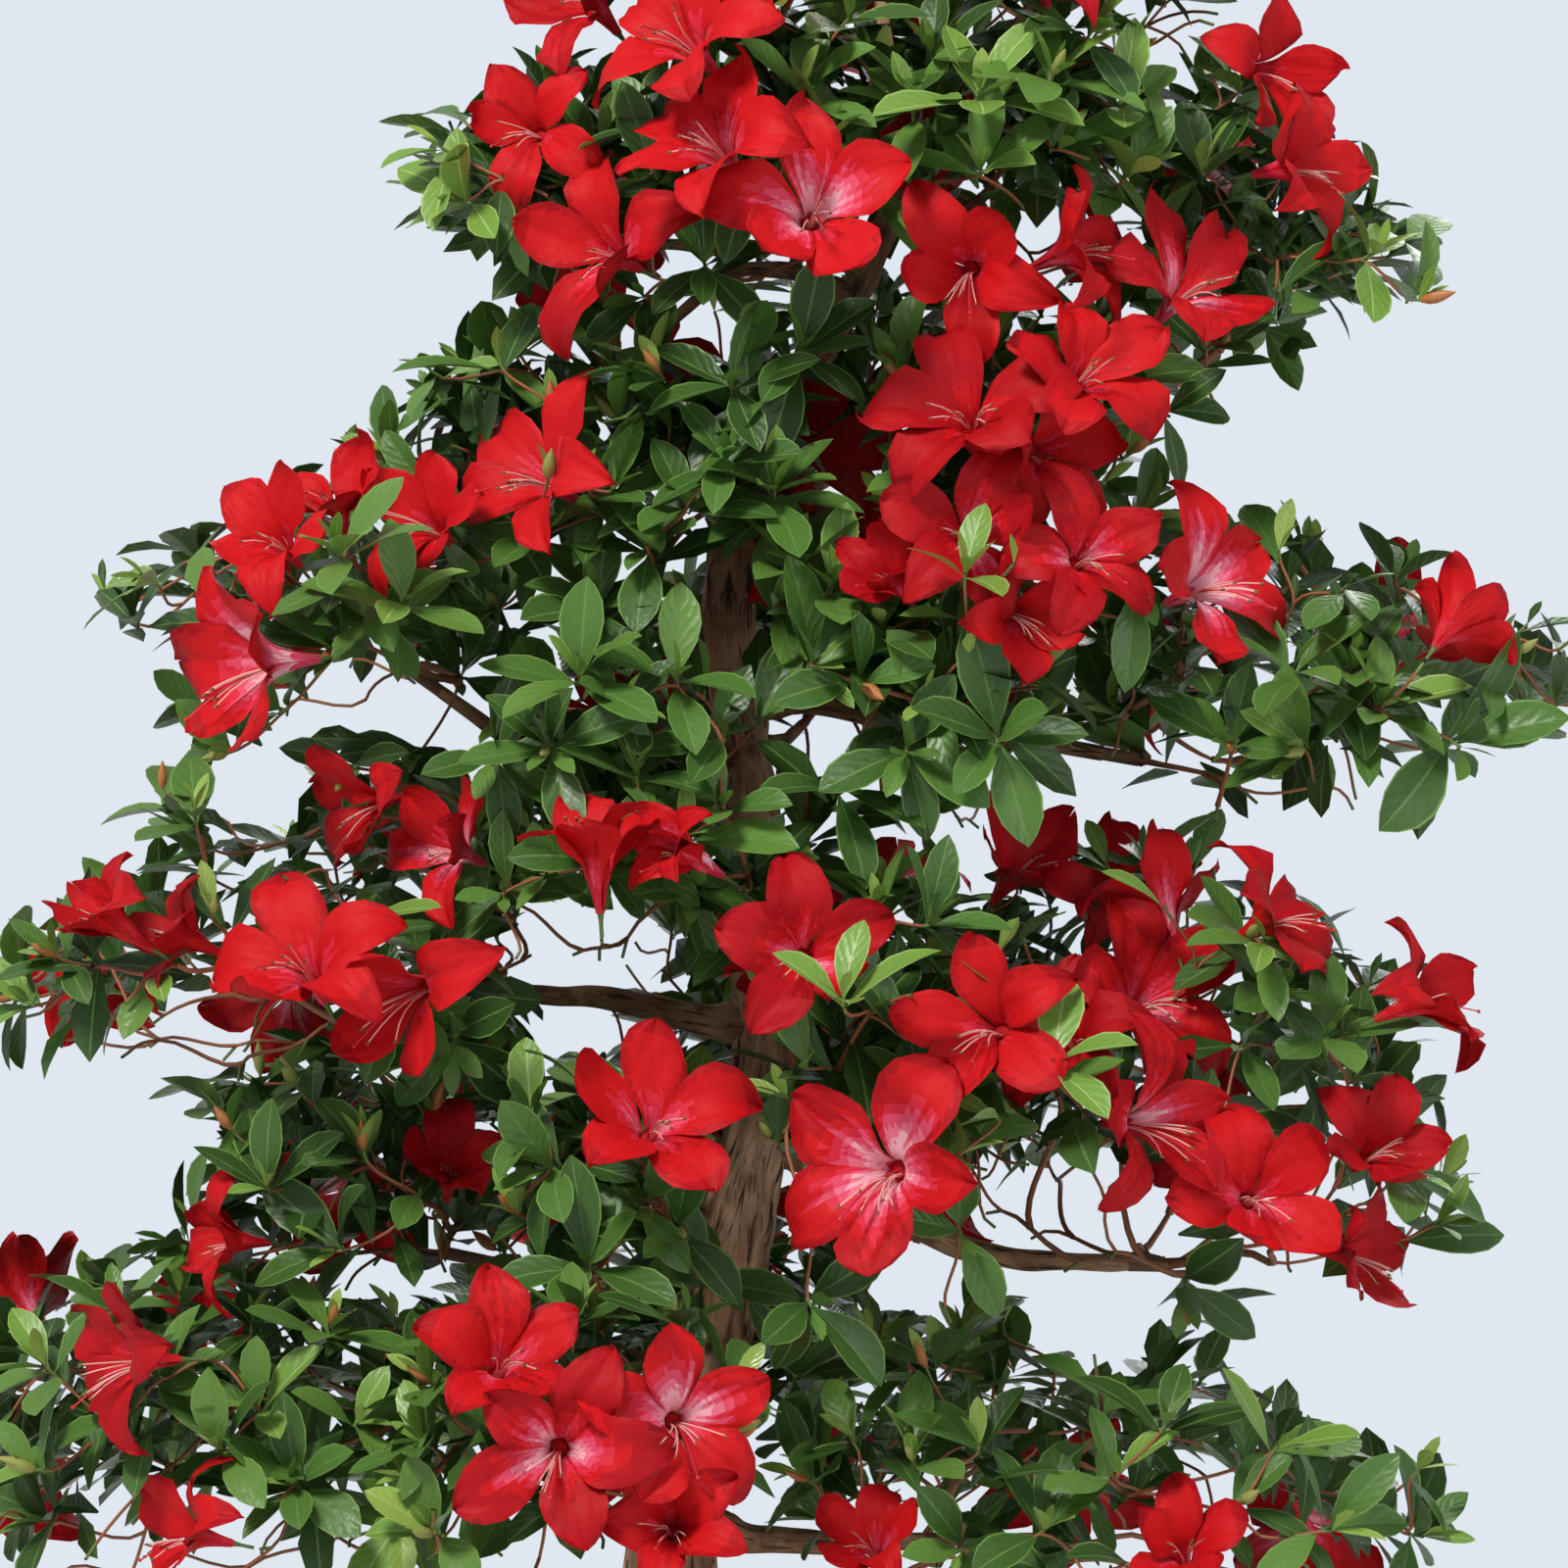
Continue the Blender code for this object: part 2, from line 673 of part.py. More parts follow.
def spray(foot, tip, rng):
    """(foot, direction) of the leaves up the end of a twig."""
    run = (tip - foot).normalized()
    spacing = min(LEAF_SPACING, 0.7 * (tip - foot).length / LEAVES)
    frame = run.to_track_quat("Z", "Y").to_matrix()
    first = rng.uniform(0, math.tau)
    for index in range(LEAVES):
        angle = first + GOLDEN_TURN * index
        spread = math.radians(rng.uniform(48, 72))
        direction = frame @ Vector(
            (math.sin(spread) * math.cos(angle), math.sin(spread) * math.sin(angle), math.cos(spread))
        )
        yield tip - run * (spacing * (index + 0.4)) - direction * LEAF_SINK, direction


def crowded(points, taken, blooms, twigs):
    """Whether a leaf would cross one that is placed, a bloom or a twig other than its own."""
    for low, high, _ in twigs:
        span = high - low
        for point in points:
            t = max(0.0, min(1.0, (point - low).dot(span) / span.length_squared))
            if (point - low - span * t).length < 4.5 * MM:
                return True
    if any((point - other).length < 9 * MM for point in points[1:7] for other in taken):
        return True
    for foot, axis, size, _ in blooms:
        middle = bloom_middle(foot, axis, size)
        if any((point - middle).length < 0.9 * BLOOM_RADIUS * size for point in points):
            return True
    return False


def build_mass(name, space, limbs, blooms, parts, looks):
    """Twigs, leaves and blossom of one mass, fused into one solid."""
    rng = random.Random("mass " + name)
    start, out = stem_of(name, space)
    neck = start + out * 14 * MM
    add_rear_blooms(space, limbs, rng, blooms)
    tips = [
        tip
        for tip, _ in shoot_tips(space)
        if space.holds(tip)
        and clear_of_limbs([tip], limbs, 4 * MM)
        and all((tip - bloom[0] - bloom[1] * 14 * MM).length > 26 * MM for bloom in blooms)
    ]
    aims = tips + [bloom[0] for bloom in blooms]
    pieces = new_collection(name + "_pieces")
    stem = add_object("mass_" + name, twig_mesh(start, neck, STEM_RADIUS, STEM_RADIUS), parts, looks["leaf"])
    taken = []
    leaves = 0
    twigs = grow_twigs(neck, aims, limbs)
    grown = [twig[1] for twig in twigs]
    for foot, tip, radius in twigs:
        run = (tip - foot).normalized()
        add_object("twig", twig_mesh(foot - run * 2 * MM, tip, radius, TWIG_TIP_RADIUS), pieces)
        if tip not in tips:
            continue
        others = [twig for twig in twigs if twig[1] != tip]
        for base, direction in spray(foot, tip, rng):
            turn = leaf_turn(direction, (run + Vector((0, 0, 0.6))).normalized())
            for size in (1.0, 0.82, 0.66):
                points = leaf_points(base, turn, LEAF_LENGTH * size, LEAF_WIDTH * size)
                if (
                    all(space.holds(point) for point in points)
                    and clear_of_limbs(points, limbs)
                    and not crowded(points, taken, blooms, others)
                ):
                    scale = Matrix.Diagonal((LEAF_WIDTH * size, LEAF_THICKNESS, LEAF_LENGTH * size, 1.0))
                    leaf = add_object("leaf", looks["leaf_mesh"], pieces)
                    leaf.matrix_world = Matrix.Translation(base) @ turn.to_4x4() @ scale
                    taken += points[:7]
                    leaves += 1
                    break
    for foot, axis, size, turn in [bloom for bloom in blooms if bloom[0] in grown]:
        bloom = add_object("bloom", looks["bloom_mesh"], pieces)
        place = Matrix.Translation(foot - axis * 2.5 * MM) @ bloom_frame(axis, turn).to_4x4()
        bloom.matrix_world = place @ Matrix.Scale(size, 4)
    fuse(stem, pieces)
    print(name, len(tips), "tips", leaves, "leaves", len(blooms), "blooms", len(stem.data.polygons), "faces")
    return len(stem.data.polygons)


def fuse(body, pieces):
    """Unites body with every piece of a collection, then drops the pieces and any loose scrap."""
    union = body.modifiers.new("fuse", "BOOLEAN")
    union.operation = "UNION"
    union.solver = "MANIFOLD"
    union.operand_type = "COLLECTION"
    union.collection = pieces
    graph = bpy.context.evaluated_depsgraph_get()
    graph.update()
    joined = bpy.data.meshes.new_from_object(body.evaluated_get(graph))
    body.modifiers.clear()
    body.data = joined
    for piece in list(pieces.objects):
        bpy.data.objects.remove(piece)
    bpy.data.collections.remove(pieces)
    keep_largest_shell(joined)


def keep_largest_shell(mesh):
    """Removes loose scraps and fills sealed hollows, which are shells of their own."""
    shape = bmesh.new()
    shape.from_mesh(mesh)
    bmesh.ops.triangulate(shape, faces=shape.faces)
    left = set(shape.verts)
    shells = []
    while left:
        todo = [left.pop()]
        shell = set(todo)
        while todo:
            for edge in todo.pop().link_edges:
                for vertex in edge.verts:
                    if vertex in left:
                        left.remove(vertex)
                        shell.add(vertex)
                        todo.append(vertex)
        shells.append(shell)
    shells.sort(key=len)
    if len(shells) > 1:
        print("  shells:", [len(shell) for shell in shells])
    scraps = [vertex for shell in shells[:-1] for vertex in shell]
    bmesh.ops.delete(shape, geom=scraps, context="VERTS")
    shape.to_mesh(mesh)
    shape.free()


# ---------------------------------------------------------------- limbs
def tube(name, points, radii, bevel_resolution, collection, material):
    """A tapering limb: a curve with a round section and closed ends."""
    curve = bpy.data.curves.new(name, "CURVE")
    curve.dimensions = "3D"
    curve.bevel_depth = MM
    curve.bevel_resolution = bevel_resolution
    curve.use_fill_caps = True
    spline = curve.splines.new("POLY")
    spline.points.add(len(points) - 1)
    for place, point, radius in zip(spline.points, points, radii):
        place.co = (*point, 1.0)
        place.radius = radius / MM
    return add_object(name, curve, collection, material)


def to_mesh(item):
    """The same object as a mesh, with the caps of its curve welded on."""
    graph = bpy.context.evaluated_depsgraph_get()
    graph.update()
    mesh = bpy.data.meshes.new_from_object(item.evaluated_get(graph))
    shape = bmesh.new()
    shape.from_mesh(mesh)
    bmesh.ops.remove_doubles(shape, verts=shape.verts, dist=0.01 * MM)
    shape.to_mesh(mesh)
    shape.free()
    name, place = item.name, item.matrix_world.copy()
    collection = item.users_collection[0]
    bpy.data.objects.remove(item)
    made = add_object(name, mesh, collection)
    made.matrix_world = place
    return made


def build_trunk(parts, cutters, material):
    """The trunk with its roots, cut flat where it stands on the soil."""
    line = trunk_line()
    radii = [trunk_radius(index / TRUNK_RINGS) for index in range(len(line))]
    trunk = to_mesh(tube("trunk", line, radii, TRUNK_FACETS, parts, material))
    roots = new_collection("roots")
    rng = random.Random(ROOT_SEED)
    foot = line[0]
    for index in range(ROOTS):
        angle = math.tau * (index + rng.uniform(-0.22, 0.22)) / ROOTS
        reach = ROOT_REACH * rng.uniform(0.82, 1.15)
        out = Vector((math.cos(angle), math.sin(angle), 0))
        stations = [
            foot + out * 4 * MM + Vector((0, 0, ROOT_RISE)),
            foot + out * reach * 0.36 + Vector((0, 0, ROOT_RISE * 0.45)),
            foot + out * reach * 0.7 + Vector((0, 0, ROOT_RISE * 0.12)),
            foot + out * reach - Vector((0, 0, ROOT_RISE * 0.1)),
        ]
        points = smooth_path(stations, 4)
        thick = ROOT_RADIUS * rng.uniform(0.8, 1.1)
        radii = [thick * (1 - 0.62 * step / 4) for step in range(5)]
        to_mesh(tube("root", points, radii, 1, roots, material))
    fuse(trunk, roots)
    below = new_box("below_ground", (0.3, 0.3, 0.1), (foot.x, foot.y, GROUND + GAP - 0.05), cutters)
    cut(trunk, below, "DIFFERENCE")
    trunk.data.materials.append(material)
    return trunk


def new_box(name, size, centre, collection):
    mesh = bpy.data.meshes.new(name)
    shape = bmesh.new()
    bmesh.ops.create_cube(shape, size=1.0)
    bmesh.ops.scale(shape, vec=size, verts=shape.verts)
    bmesh.ops.translate(shape, vec=centre, verts=shape.verts)
    shape.to_mesh(mesh)
    shape.free()
    made = add_object(name, mesh, collection)
    made.hide_render = True
    made.display_type = "WIRE"
    return made


def cut(body, cutter, operation):
    modifier = body.modifiers.new(cutter.name, "BOOLEAN")
    modifier.operation = operation
    modifier.solver = "EXACT"
    modifier.object = cutter


# ---------------------------------------------------------------- the pot
def rounded_block(name, top, bottom, low, high, corner, collection, material=None, sides=CORNER_STEPS):
    """A block with round corners whose top and bottom are rectangles of unlike size."""
    mesh = bpy.data.meshes.new(name)
    shape = bmesh.new()
    bmesh.ops.create_cube(shape, size=1.0)
    for vertex in shape.verts:
        size = top if vertex.co.z > 0 else bottom
        vertex.co = (vertex.co.x * size[0], vertex.co.y * size[1], high if vertex.co.z > 0 else low)
    upright = [edge for edge in shape.edges if abs(edge.verts[0].co.z - edge.verts[1].co.z) > 1e-6]
    bmesh.ops.bevel(
        shape, geom=upright, offset=corner, segments=sides, profile=0.5, affect="EDGES", clamp_overlap=True
    )
    shape.to_mesh(mesh)
    shape.free()
    return add_object(name, mesh, collection, material)


def pot_size_at(height, inset=0.0):
    """Length and depth of the pot's outside at a height, less an inset on every side."""
    lean = POT_TAPER * (POT_HEIGHT - height) / (POT_HEIGHT - FOOT_HEIGHT)
    return (POT_LENGTH - 2 * lean - 2 * inset, POT_DEPTH - 2 * lean - 2 * inset)


def build_pot(parts, cutters, looks):
    base = FOOT_HEIGHT
    pot = rounded_block(
        "pot", pot_size_at(POT_HEIGHT), pot_size_at(base), base, POT_HEIGHT, POT_CORNER, parts, looks["clay"]
    )
    rim_low = POT_HEIGHT - RIM_HEIGHT
    rim = rounded_block(
        "rim",
        pot_size_at(POT_HEIGHT, -RIM_OUT),
        pot_size_at(rim_low, -RIM_OUT),
        rim_low,
        POT_HEIGHT + 0.2 * MM,
        POT_CORNER + RIM_OUT,
        cutters,
    )
    cavity_floor = base + FLOOR
    cavity = rounded_block(
        "cavity",
        pot_size_at(POT_HEIGHT + 20 * MM, WALL),
        pot_size_at(cavity_floor, WALL),
        cavity_floor,
        POT_HEIGHT + 20 * MM,
        POT_CORNER - WALL,
        cutters,
    )
    for helper in (rim, cavity):
        helper.hide_render = True
        helper.display_type = "WIRE"
    cut(pot, rim, "UNION")
    cut(pot, cavity, "DIFFERENCE")
    for side in (-1, 1):
        cut(pot, new_drain(side * DRAIN_SPACING / 2, cutters), "DIFFERENCE")
    return pot


def new_drain(x, collection):
    mesh = bpy.data.meshes.new("drain")
    shape = bmesh.new()
    bmesh.ops.create_cone(
        shape,
        cap_ends=True,
        segments=16,
        radius1=DRAIN_RADIUS,
        radius2=DRAIN_RADIUS,
        depth=3 * FLOOR,
        matrix=Matrix.Translation((x, 0, FOOT_HEIGHT + FLOOR / 2)),
    )
    shape.to_mesh(mesh)
    shape.free()
    made = add_object("drain", mesh, collection)
    made.hide_render = True
    made.display_type = "WIRE"
    return made


def build_feet(parts, looks):
    length, depth = pot_size_at(FOOT_HEIGHT, FOOT_INSET)
    for row, along_y in (("front", -1), ("back", 1)):
        for column, along_x in (("left", -1), ("right", 1)):
            foot = rounded_block(
                f"foot_{row}_{column}",
                (FOOT_LENGTH, FOOT_DEPTH),
                (FOOT_LENGTH - 6 * MM, FOOT_DEPTH - 6 * MM),
                0,
                FOOT_HEIGHT - GAP,
                8 * MM,
                parts,
                looks["clay"],
                3,
            )
            foot.location = (
                along_x * (length - FOOT_LENGTH) / 2,
                along_y * (depth - FOOT_DEPTH) / 2,
                0,
            )


def build_soil(parts, cutters, looks):
    """Fills the pot to just under its rim and rises to the level that the trunk stands on."""
    low = FOOT_HEIGHT + FLOOR + GAP
    high = POT_HEIGHT - SOIL_BELOW_RIM
    soil = rounded_block(
        "soil",
        pot_size_at(high, WALL + GAP),
        pot_size_at(low, WALL + GAP),
        low,
        high,
        POT_CORNER - WALL,
        parts,
        looks["soil"],
    )
    mesh = bpy.data.meshes.new("mound")
    shape = bmesh.new()
    bmesh.ops.create_cone(shape, cap_ends=True, segments=MOUND_SIDES, radius1=1, radius2=0.5, depth=1)
    for vertex in shape.verts:
        half = MOUND_TOP if vertex.co.z > 0 else MOUND_FOOT
        way = vertex.co.xy.normalized()
        vertex.co = (way.x * half[0], way.y * half[1], GROUND if vertex.co.z > 0 else high - 3 * MM)
    shape.to_mesh(mesh)
    shape.free()
    mound = add_object("mound", mesh, cutters)
    mound.hide_render = True
    mound.display_type = "WIRE"
    cut(soil, mound, "UNION")


def main():
    clear_scene()
    parts = new_collection("satsuki_azalea_bonsai")
    cutters = new_collection("cutters")
    looks = {
        "bark": finish("bark", (0.23, 0.15, 0.09), 0.85),
        "leaf": finish("leaf", (0.07, 0.19, 0.05), 0.4),
        "clay": finish("clay", (0.16, 0.09, 0.06), 0.6),
        "soil": finish("soil", (0.14, 0.09, 0.05), 0.95),
        "leaf_mesh": unit_leaf(),
        "bloom_mesh": unit_bloom(),
    }
    build_pot(parts, cutters, looks)
    build_feet(parts, looks)
    build_soil(parts, cutters, looks)
    build_trunk(parts, cutters, looks["bark"])
    for name in BOUGHS:
        tube("bough_" + name, bough_line(name), bough_radii(name), 1, parts, looks["bark"])
    limbs = all_limbs()
    spaces = [Space(name) for name in MASSES]
    part_spaces(spaces)
    homes = place_table(spaces, limbs)
    total = 0
    for space in spaces:
        total += build_mass(space.name, space, limbs, homes[space.name], parts, looks)
    print("faces in the masses:", total)


main()
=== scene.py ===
# %% [markdown]
# # A satsuki azalea bonsai in flower
# The tree is an evergreen shrub that has been trained for years in a shallow clay pot: one bending
# trunk, tiers of thin boughs, and flat pads of leafy shoots with wide scarlet blooms. This lesson
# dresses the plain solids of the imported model. Every piece is grown or lofted in code around them,
# and rides on the one body that they belong to.

import functools
import itertools
import json
import math
import random

import bmesh
import bpy
import numpy as np
from mathutils import Matrix, Vector, noise

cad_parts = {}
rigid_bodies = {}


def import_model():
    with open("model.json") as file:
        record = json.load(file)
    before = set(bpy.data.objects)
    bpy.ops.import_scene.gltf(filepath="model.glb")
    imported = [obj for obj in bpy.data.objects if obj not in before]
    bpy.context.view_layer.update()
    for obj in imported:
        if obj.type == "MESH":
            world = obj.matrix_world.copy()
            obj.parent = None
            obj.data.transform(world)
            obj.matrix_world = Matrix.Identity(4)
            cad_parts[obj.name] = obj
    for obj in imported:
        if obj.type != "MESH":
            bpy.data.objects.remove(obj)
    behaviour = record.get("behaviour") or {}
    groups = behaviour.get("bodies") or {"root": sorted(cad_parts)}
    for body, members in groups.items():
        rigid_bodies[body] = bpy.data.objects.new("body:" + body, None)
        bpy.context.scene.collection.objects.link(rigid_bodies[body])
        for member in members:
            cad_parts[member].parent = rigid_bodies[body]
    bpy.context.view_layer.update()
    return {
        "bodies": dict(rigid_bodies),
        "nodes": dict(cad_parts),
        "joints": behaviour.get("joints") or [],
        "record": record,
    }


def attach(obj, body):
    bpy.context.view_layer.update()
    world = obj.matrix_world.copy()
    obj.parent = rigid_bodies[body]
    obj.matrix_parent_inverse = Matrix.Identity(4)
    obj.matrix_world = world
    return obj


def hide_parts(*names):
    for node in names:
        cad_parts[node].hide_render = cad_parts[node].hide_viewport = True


for unwanted in list(bpy.data.objects):
    bpy.data.objects.remove(unwanted)
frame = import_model()
MM = 0.001


def new_object(name, data):
    """Puts a mesh, a camera or a lamp into the scene."""
    made = bpy.data.objects.new(name, data)
    bpy.context.scene.collection.objects.link(made)
    return made


# %% [markdown]
# ## Shader sums as expressions
# A surface's colour, gloss and bumps change from place to place, and Blender works them out in a
# graph of nodes. Written node by node such a graph is hard to read, so one small class wraps a
# socket and turns plain sums into Math nodes. A colour never goes through a Math node, which would
# turn it grey: it goes through Mix.

# %% A socket that does sums
class Wire:
    def __init__(self, tree, socket=None):
        self.tree, self.socket = tree, socket

    def node(self, kind, settings=(), sockets=(), out=0):
        """Adds a node: its settings first, then the values or links of its sockets."""
        made = self.tree.nodes.new("ShaderNode" + kind)
        for name, value in dict(settings).items():
            setattr(made, name, value)
        for name, value in dict(sockets).items():
            if isinstance(value, Wire):
                self.tree.links.new(value.socket, made.inputs[name])
            else:
                made.inputs[name].default_value = value
        return Wire(self.tree, made.outputs[out])

    def sum(self, operation, *values):
        return self.node("Math", {"operation": operation}, dict(enumerate(values)))

    def __add__(self, other):
        return self.sum("ADD", self, other)

    def __sub__(self, other):
        return self.sum("SUBTRACT", self, other)

    def __rsub__(self, other):
        return self.sum("SUBTRACT", other, self)

    def __mul__(self, other):
        return self.sum("MULTIPLY", self, other)

    __radd__, __rmul__ = __add__, __mul__

    def mix(self, low, high):
        """The colour low where this is 0 and high where it is 1."""
        ends = [(*end, 1.0) if isinstance(end, tuple) else end for end in (low, high)]
        return self.node("Mix", {"data_type": "RGBA"}, {0: self, 6: ends[0], 7: ends[1]}, out=2)

    def between(self, low, high):
        """0 at low, 1 at high, and held there beyond."""
        return self.node("MapRange", {"clamp": True}, {"Value": self, "From Min": low, "From Max": high})


def new_material(name, colour, roughness, **constants):
    """A Principled material; returns it, its shader and a Wire to build patterns with."""
    made = bpy.data.materials.new(name)
    made.use_nodes = True
    shader = made.node_tree.nodes["Principled BSDF"]
    shader.inputs["Base Color"].default_value = (*colour, 1.0)
    shader.inputs["Roughness"].default_value = roughness
    for socket, value in constants.items():
        shader.inputs[socket.replace("_", " ")].default_value = value
    return made, shader, Wire(made.node_tree)


def plug(shader, socket, wire):
    wire.tree.links.new(wire.socket, shader.inputs[socket])


def grain(wire, scale, detail=4.0, rough=0.55, stretch=(1, 1, 1), distortion=0.0, mapped=False):
    """Fractal noise from 0 to 1, over the object's own places or over its map."""
    place = wire.node("UVMap", {"uv_map": "blade"}) if mapped else wire.node("TexCoord", out=3)
    place = wire.node("Mapping", {}, {"Vector": place, "Scale": stretch})
    values = {"Scale": scale, "Detail": detail, "Roughness": rough, "Distortion": distortion}
    return wire.node("TexNoise", {}, {"Vector": place, **values})


def bump(shader, height, strength, distance):
    relief = height.node("Bump", {}, {"Height": height, "Strength": strength, "Distance": distance})
    plug(shader, "Normal", relief)


print("shader sums are ready")

# %% [markdown]
# ## Many small faces at once
# A tree has thousands of leaves. Making each one as an object would be slow and would not export,
# so each kind is worked out as arrays of corners and triangles, and every heap of arrays becomes
# one mesh. A number beside each triangle says which finish it takes.

# %% A heap of triangles
class Heap:
    def __init__(self):
        self.corners, self.faces, self.tones, self.maps, self.count = [], [], [], [], 0

    def add(self, corners, faces, tones=0, across_along=None):
        """Corners, triangles, a finish for each triangle, and where each corner is on its blade."""
        corners, faces = np.asarray(corners, float), np.asarray(faces, int)
        self.corners.append(corners)
        self.maps.append(np.zeros((len(corners), 2)) if across_along is None else across_along)
        self.faces.append(faces + self.count)
        self.tones.append(np.broadcast_to(np.asarray(tones, int), len(faces)))
        self.count += len(corners)

    def piece(self, name, materials, slot, nodes, smooth=True):
        """Makes the mesh, and hands it to the frame in place of the named nodes."""
        corners, faces = np.concatenate(self.corners), np.concatenate(self.faces)
        mesh = bpy.data.meshes.new(name)
        mesh.vertices.add(len(corners))
        mesh.vertices.foreach_set("co", corners.ravel())
        mesh.loops.add(3 * len(faces))
        mesh.loops.foreach_set("vertex_index", faces.ravel())
        mesh.polygons.add(len(faces))
        mesh.polygons.foreach_set("loop_start", np.arange(len(faces)) * 3)
        for material in materials:
            mesh.materials.append(material)
        mesh.polygons.foreach_set("material_index", np.concatenate(self.tones))
        mesh.polygons.foreach_set("use_smooth", np.full(len(faces), smooth))
        blade_map = np.concatenate(self.maps)[faces.ravel()]
        mesh.uv_layers.new(name="blade").data.foreach_set("uv", blade_map.ravel())
        mesh.update(calc_edges=True)
        mesh.validate()
        made = new_object(name, mesh)
        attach(made, "root")
        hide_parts(*nodes)
        print(name, len(faces), "triangles")


def quads_of(rows, columns, closed=False):
    """Triangles over a grid of corners, row by row; closed joins its last column to its first."""
    across = columns if closed else columns - 1
    row, column = np.meshgrid(np.arange(rows - 1), np.arange(across), indexing="ij")
    a = (row * columns + column).ravel()
    b = (row * columns + (column + 1) % columns).ravel()
    return np.concatenate([np.stack([a, b, b + columns], 1), np.stack([a, b + columns, a + columns], 1)])


def circle(count, turned=0.0):
    """Places at even steps round a circle of radius 1."""
    turns = (np.arange(count) + turned) * math.tau / count
    return np.column_stack([np.cos(turns), np.sin(turns)])


print("heaps are ready")

# %% [markdown]
# ## The camera
# A long lens from two metres away flattens the tree as a portrait lens flattens a face, so the
# tiers keep their true sizes. The camera is level and looks at the middle of the crown. It comes
# first because some places below are given as seen from the front.

# %% Camera
TREE_PLACE = np.array((0.0, -5.0, 0.0))  # the tree's own places are moved by this much, in mm
VIEW_HEIGHT = 482  # mm
VIEW_DISTANCE = 2.0
VIEW_WIDTH = 0.512  # how much of the tree's own plane the frame takes in
SENSOR = 36


def at(place):
    """A place of the tree, given in millimetres, in the shared frame."""
    return (np.asarray(place, float) + TREE_PLACE) * MM


eye = at((0, 0, VIEW_HEIGHT)) - (0, VIEW_DISTANCE, 0)
camera = new_object("camera", bpy.data.cameras.new("camera"))
camera.location = eye
camera.rotation_euler = (math.radians(90), 0, 0)
camera.data.sensor_width = SENSOR
camera.data.lens = SENSOR * VIEW_DISTANCE / VIEW_WIDTH
bpy.context.scene.camera = camera


def seen(points):
    """The x and height in mm, on the trunk's plane, where the camera sees each point."""
    share = VIEW_DISTANCE / (points[..., 1:2] - eye[1])
    return (eye[[0, 2]] + (points[..., [0, 2]] - eye[[0, 2]]) * share) / MM - TREE_PLACE[[0, 2]]


def behind(x, z, depths):
    """The points at those depths that the camera sees at x and height z, in mm."""
    plane = at((x, 0, z))
    share = (np.asarray(depths, float) - eye[1]) / VIEW_DISTANCE
    return eye + (plane - eye) * share[..., None]


print("lens", round(camera.data.lens, 1), "mm")

# %% [markdown]
# ## The limbs' lines
# The trunk and the boughs follow the same named places as the solids, so the dressed tree grows
# over the plain one. A smooth curve through a few bends gives the trunk its slow sway, and each
# bough leaves it square, sags a little, and wanders as a wired limb does.

# %% Trunk and boughs as lines
TRUNK_BENDS = (
    (-18, 0, 86), (-30, 5, 150), (-37, 10, 222), (-30, 8, 272), (-12, -4, 356), (-5, -7, 400),
    (-12, -1, 480), (-18, 8, 544), (-9, 10, 590), (24, 5, 645), (38, 0, 684), (30, -3, 750), (27, 0, 806),
)
TRUNK_STEPS = 440
TRUNK_BASE_RADIUS = 20.5 * MM
TRUNK_TIP_RADIUS = 2.4 * MM
TRUNK_TAPER = 0.86
# Name: height on the trunk, then the tip's x, y and height, all in millimetres,
# then the radius at the trunk and how far the limb sags below a straight line.
BOUGHS = {
    "low_left": (262, (-113, -6, 276), 6.0, 5),
    "low_front": (246, (-60, -62, 256), 4.6, 4),
    "low_right": (238, (46, -8, 236), 6.0, 3),
    "low_back": (252, (-22, 80, 262), 5.6, 4),
    "midlow_left": (318, (-98, 2, 326), 5.2, 6),
    "mid_right": (366, (112, -6, 326), 6.2, 16),
    "mid_back": (372, (6, 72, 372), 5.0, 4),
    "third_left": (404, (-88, -4, 414), 6.0, -5),
    "second_right": (508, (104, -2, 492), 5.4, 6),
    "second_back": (500, (4, 70, 500), 4.4, 4),
    "second_left": (488, (-112, 4, 512), 5.0, 8),
    "inner_left": (640, (-56, 2, 612), 3.6, -8),
    "centre_right": (560, (46, -20, 558), 3.8, 4),
    "upper_back": (584, (20, 62, 588), 3.8, 3),
    "upper_left": (650, (-58, -2, 656), 3.6, 4),
    "upper_right": (578, (132, -2, 616), 4.2, 10),
    "crown_left": (724, (-22, 0, 742), 2.9, 4),
    "crown_right": (704, (74, 0, 728), 3.2, 4),
}
BOUGH_TIP_SHARE = 0.52
BOUGH_STATIONS = 7
BOUGH_SQUARE = 0.38  # how far a limb heads straight off the trunk before it bends away
BOUGH_WANDER = 2.2 * MM
UP = np.array((0.0, 0.0, 1.0))


def unit(vector):
    vector = np.asarray(vector, float)
    return vector / np.linalg.norm(vector, axis=-1, keepdims=True)


def smooth_path(stations, steps):
    """Points at even steps on one smooth curve through all the stations."""
    stations = np.asarray(stations, float)
    ends = np.vstack([2 * stations[0] - stations[1], stations, 2 * stations[-1] - stations[-2]])
    along = np.linspace(0, len(stations) - 1, steps + 1)
    span = np.minimum(along.astype(int), len(stations) - 2)
    t = (along - span)[:, None]
    a, b, c, d = (ends[span + step] for step in range(4))
    return 0.5 * (2 * b + (c - a) * t + (2 * a - 5 * b + 4 * c - d) * t**2 + (3 * b - a - 3 * c + d) * t**3)


trunk_path = smooth_path([at(bend) for bend in TRUNK_BENDS], TRUNK_STEPS)
trunk_share = np.linspace(0, 1, TRUNK_STEPS + 1)
thickness = (1 - trunk_share) ** (1 / TRUNK_TAPER)
trunk_radii = TRUNK_TIP_RADIUS + (TRUNK_BASE_RADIUS - TRUNK_TIP_RADIUS) * thickness


